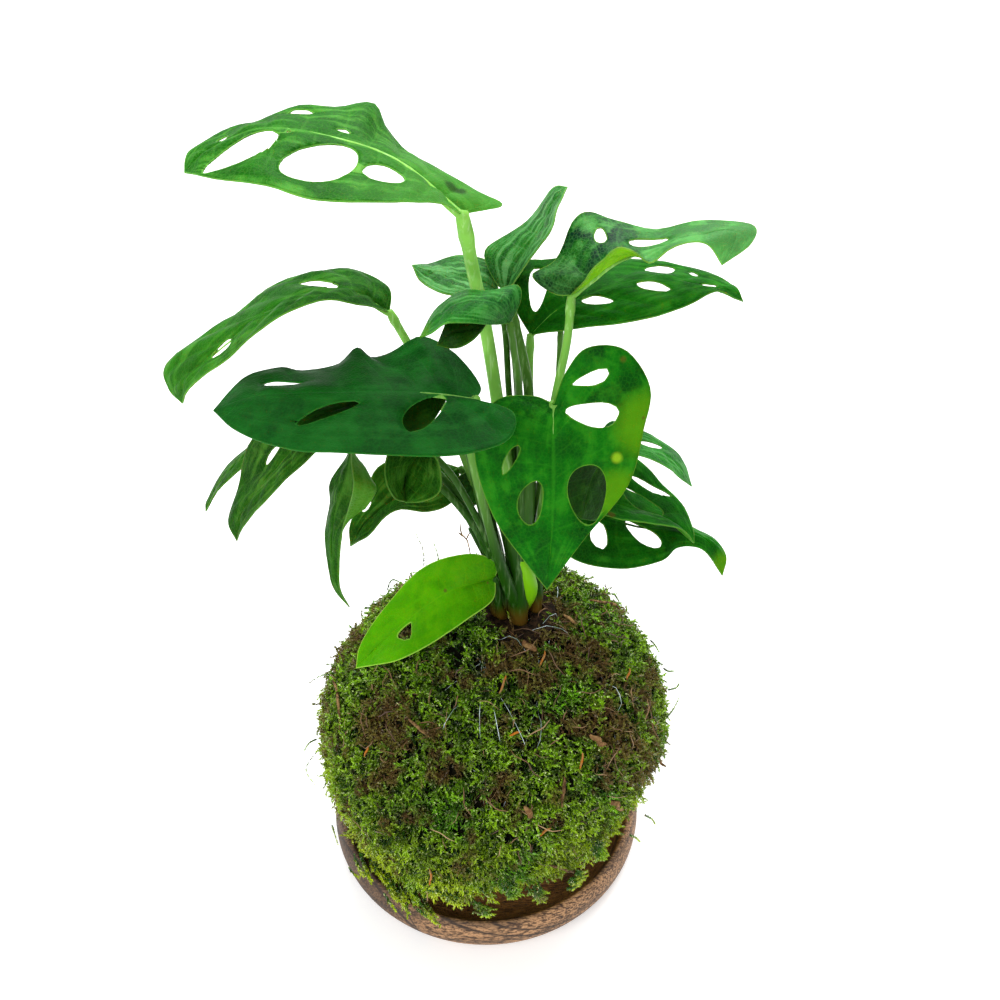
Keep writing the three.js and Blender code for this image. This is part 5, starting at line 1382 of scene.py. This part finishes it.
# %% Litter and stray strands
LITTER = {
    "twig": (0.55, "4A3220", [
        [(-24.3, -36.2, 107.4), (-20.6, -39.8, 106.9), (-17, -43, 106)],
        [(21.7, -59.2, 58.6), (26.5, -55, 49.7), (31.2, -50.8, 39.7)],
        [(25.6, -51.9, 97.3), (25.3, -54.8, 93.5), (25, -57.4, 89.1)],
        [(60.6, -24, 69.3), (62.9, -19.7, 61), (64.4, -21.4, 60.4)],
        [(-53.5, -3.2, 88.5), (-49.8, -16.7, 92), (-48.4, -27.3, 89.3)],
        [(26.9, -1.7, 118.1), (28.9, -2.7, 117.2), (30.9, -3.7, 116.3)],
        [(36.8, 12.1, 111.1), (44.7, 17.5, 103.9), (48.6, 19, 99.8)]]),
    "needle": (0.38, "B4691E", [
        [(20, -18.4, 118.9), (19.3, -21.3, 118.3), (18.3, -24.1, 117.7)],
        [(7.3, -27.7, 117.9), (6.4, -30.5, 116.8), (5.1, -33.1, 115.6)],
        [(8.2, -44.4, 108.3), (10.1, -43.6, 108.8), (12, -43.2, 108.8)],
        [(49.2, -12.6, 103.7), (48.7, -15, 103.9), (47.8, -17.8, 104.3)],
        [(31.4, -45.7, 101.3), (31.4, -47.5, 99.6), (30.7, -49.3, 97.9)],
        [(17.8, -62.2, 79.8), (19.7, -61.3, 81.8), (21.6, -60.6, 82.3)],
        [(-17.3, -65.5, 66.6), (-17.1, -65.7, 62), (-18.1, -64.6, 55.3)],
        [(-37.5, -38.8, 95.3), (-38.2, -39.7, 93.9), (-38.8, -40.6, 92.4)]]),
    "flake": (1.0, "6E4E30", [
        [(34.1, -40.7, 104), (36.7, -41.7, 101.7), (39, -41.7, 100.1)],
        [(41.5, -50.2, 81.9), (43.9, -48.1, 76.5), (46.9, -43.8, 67.3)],
        [(13.3, -58.6, 91.4), (14.2, -59.5, 89.5), (15.2, -60.4, 87.6)],
        [(12.6, -15.6, 121.1), (14.8, -17.5, 120.3), (16.7, -18.6, 119.6)]]),
    "dead_sprig": (0.28, "3E2A22", [
        [(-4.2, 24, 111), (-6.5, 44.9, 107.6), (-9.1, 47.1, 110.6), (-9.5, 49.8, 114.2)],
        [(-7.3, 45.6, 108.5), (-5.8, 47.2, 110.5)], [(-8.2, 46.4, 109.6), (-10.3, 47.6, 110.4)]]),
}
STRANDS = [[(-52.8, -3.6, 90.6), (-59.8, 4.5, 79.4), (-63.9, 1.5, 78.6)],
           [(-60.1, -13.7, 66.5), (-62.7, -15.4, 66.3), (-64.3, -18, 65.2)],
           [(-59.6, -16.9, 64.3), (-63.3, -23.2, 61.8), (-60, -27.5, 58.3)],
           [(-53.5, -38.7, 50.7), (-52.6, -40.8, 49.5), (-51, -44.6, 47.4)],
           [(47.5, 30.1, 96.1), (48.6, 28.7, 94.9), (50.4, 26.4, 93.1)],
           [(60.3, 16, 86.1), (62, 14.3, 85.2), (63.4, 12.2, 83.8)],
           [(64.7, 7.5, 80.3), (66.4, 6.4, 80), (68.2, 6.1, 80.3)],
           [(65.2, -3.4, 81.2), (69, 1.2, 76.8), (70.1, 2.1, 77.9)],
           [(63.8, -15.7, 82), (68.1, -4.4, 72.3), (70, -1.9, 74.8)],
           [(54.5, -44.2, 64.9), (58.9, -36.4, 50.7), (59.8, -38, 50.2)],
           [(49.1, -50.3, 62.3), (52.1, -46.4, 54.6), (54.4, -42.9, 46.6)],
           [(-22.9, 38.5, 101.9), (-23.2, 42.3, 106.5), (-26.1, 46.1, 112)],
           [(-17.7, 38, 103.2), (-17.7, 41.3, 104.3), (-19.5, 44.7, 108.8)],
           [(-36.4, 31.1, 96.7), (-34.6, 33.8, 99.2), (-30.3, 28.6, 102.9)]]
SHAKE_SEED = 5

noise.seed_set(SHAKE_SEED)
for name, (radius, code, routes) in LITTER.items():
    bm = bmesh.new()
    for points in routes:
        t, route = laid_route(points, 9)
        shake = np.array([noise.noise_vector(Vector(spot) * 0.5) for spot in route]) * radius
        tube(bm, route + shake, radius * (1.0 - 0.6 * np.abs(2.0 * t - 1.0) ** 3), 6)
    bmesh.ops.recalc_face_normals(bm, faces=bm.faces)
    finish_object(f"litter_{name}", bm, [earthy_material(f"{name} skin", code, "9A7A4E", 420.0, 0.7)], [])

STRAND_LEAFLETS = 25
bm = bmesh.new()
layers = {key: bm.verts.layers.float.new(key) for key in ("tip", "age", "dry")}
for number, points in enumerate(STRANDS):
    t, route = laid_route(points, STRAND_LEAFLETS + 1)
    for step in range(STRAND_LEAFLETS):
        ahead = Vector(route[step + 1] - route[step]).normalized()
        for roll in (2.4 * step, 2.4 * step + math.pi):
            add_leaflet(bm, layers["tip"], Vector(route[step]), ahead, roll, 1.3 - 0.6 * t[step], 0.5,
                        0.3 + 0.6 * t[step])
for vert in bm.verts:
    vert[layers["age"]] = 0.1
finish_object("stray_strands", bm, [moss_green], [])

# %% [markdown]
# Clear line holds the moss on: a dozen turns, each a tilted ring that follows the ball, thinner than a
# fishing line. The moss has grown over it, so each turn is sunk for most of its way and comes out, bright, in one
# place. Each turn is a fine closed tube, and its grey and pale bluish white patches are painted highlights on the
# clear line.

# %% Binding thread
THREAD_RADIUS = 0.1
THREAD_STEPS = 145
SUNK_LIFT, SHOWING_RISE = -4.4, 5.6
LOWEST_THREAD = 6.2
thread_skin, tree, shader = start_material("clear thread", {"Roughness": 0.15, "Coat Weight": 0.6})
# Painted highlights: the clear line is coloured in patches of grey and pale bluish white that stand for the light it
# reflects.
thread_shine = cloud(tree, place(tree), 160.0, 2.0)
tree.links.new(mix(tree, ease(tree, thread_shine, 0.4, 0.6), srgb("7E958C"), srgb("D6E6EC")), shader.inputs["Base Color"])

THREAD_TURNS = [(86, 88, 125, 5), (84, 99, 125, 5), (79, 115, 124, 7), (77, 274, 52, 4), (86, 179, 108, 5),
                (83, 155, 99, 3), (72, 263, 105, 4), (80, 217, 104, 3), (63, 302, 52, 4), (82, 236, 55, 4),
                (38, 15, 200, 4), (44, 140, 20, 5)]
bm = bmesh.new()
for tilt, turn, shows, half in THREAD_TURNS:
    angle = np.linspace(0.0, 2 * math.pi, THREAD_STEPS)
    ring = np.stack([np.cos(angle), np.sin(angle), np.zeros(THREAD_STEPS)], axis=1)
    leaning = Matrix.Rotation(math.radians(turn), 3, "Z") @ Matrix.Rotation(math.radians(tilt), 3, "X")
    ring = ring @ np.array(leaning).T
    off = (np.degrees(angle) - shows + 180.0) % 360.0 - 180.0
    route = ball_place(ring, SUNK_LIFT + SHOWING_RISE * np.exp(-((off / (1.2 * half)) ** 4)))
    route[:, 2] = np.maximum(route[:, 2], LOWEST_THREAD)
    tube(bm, route, np.full(THREAD_STEPS, THREAD_RADIUS), 4)
finish_object("clear_thread", bm, [thread_skin], ["binding_thread"])
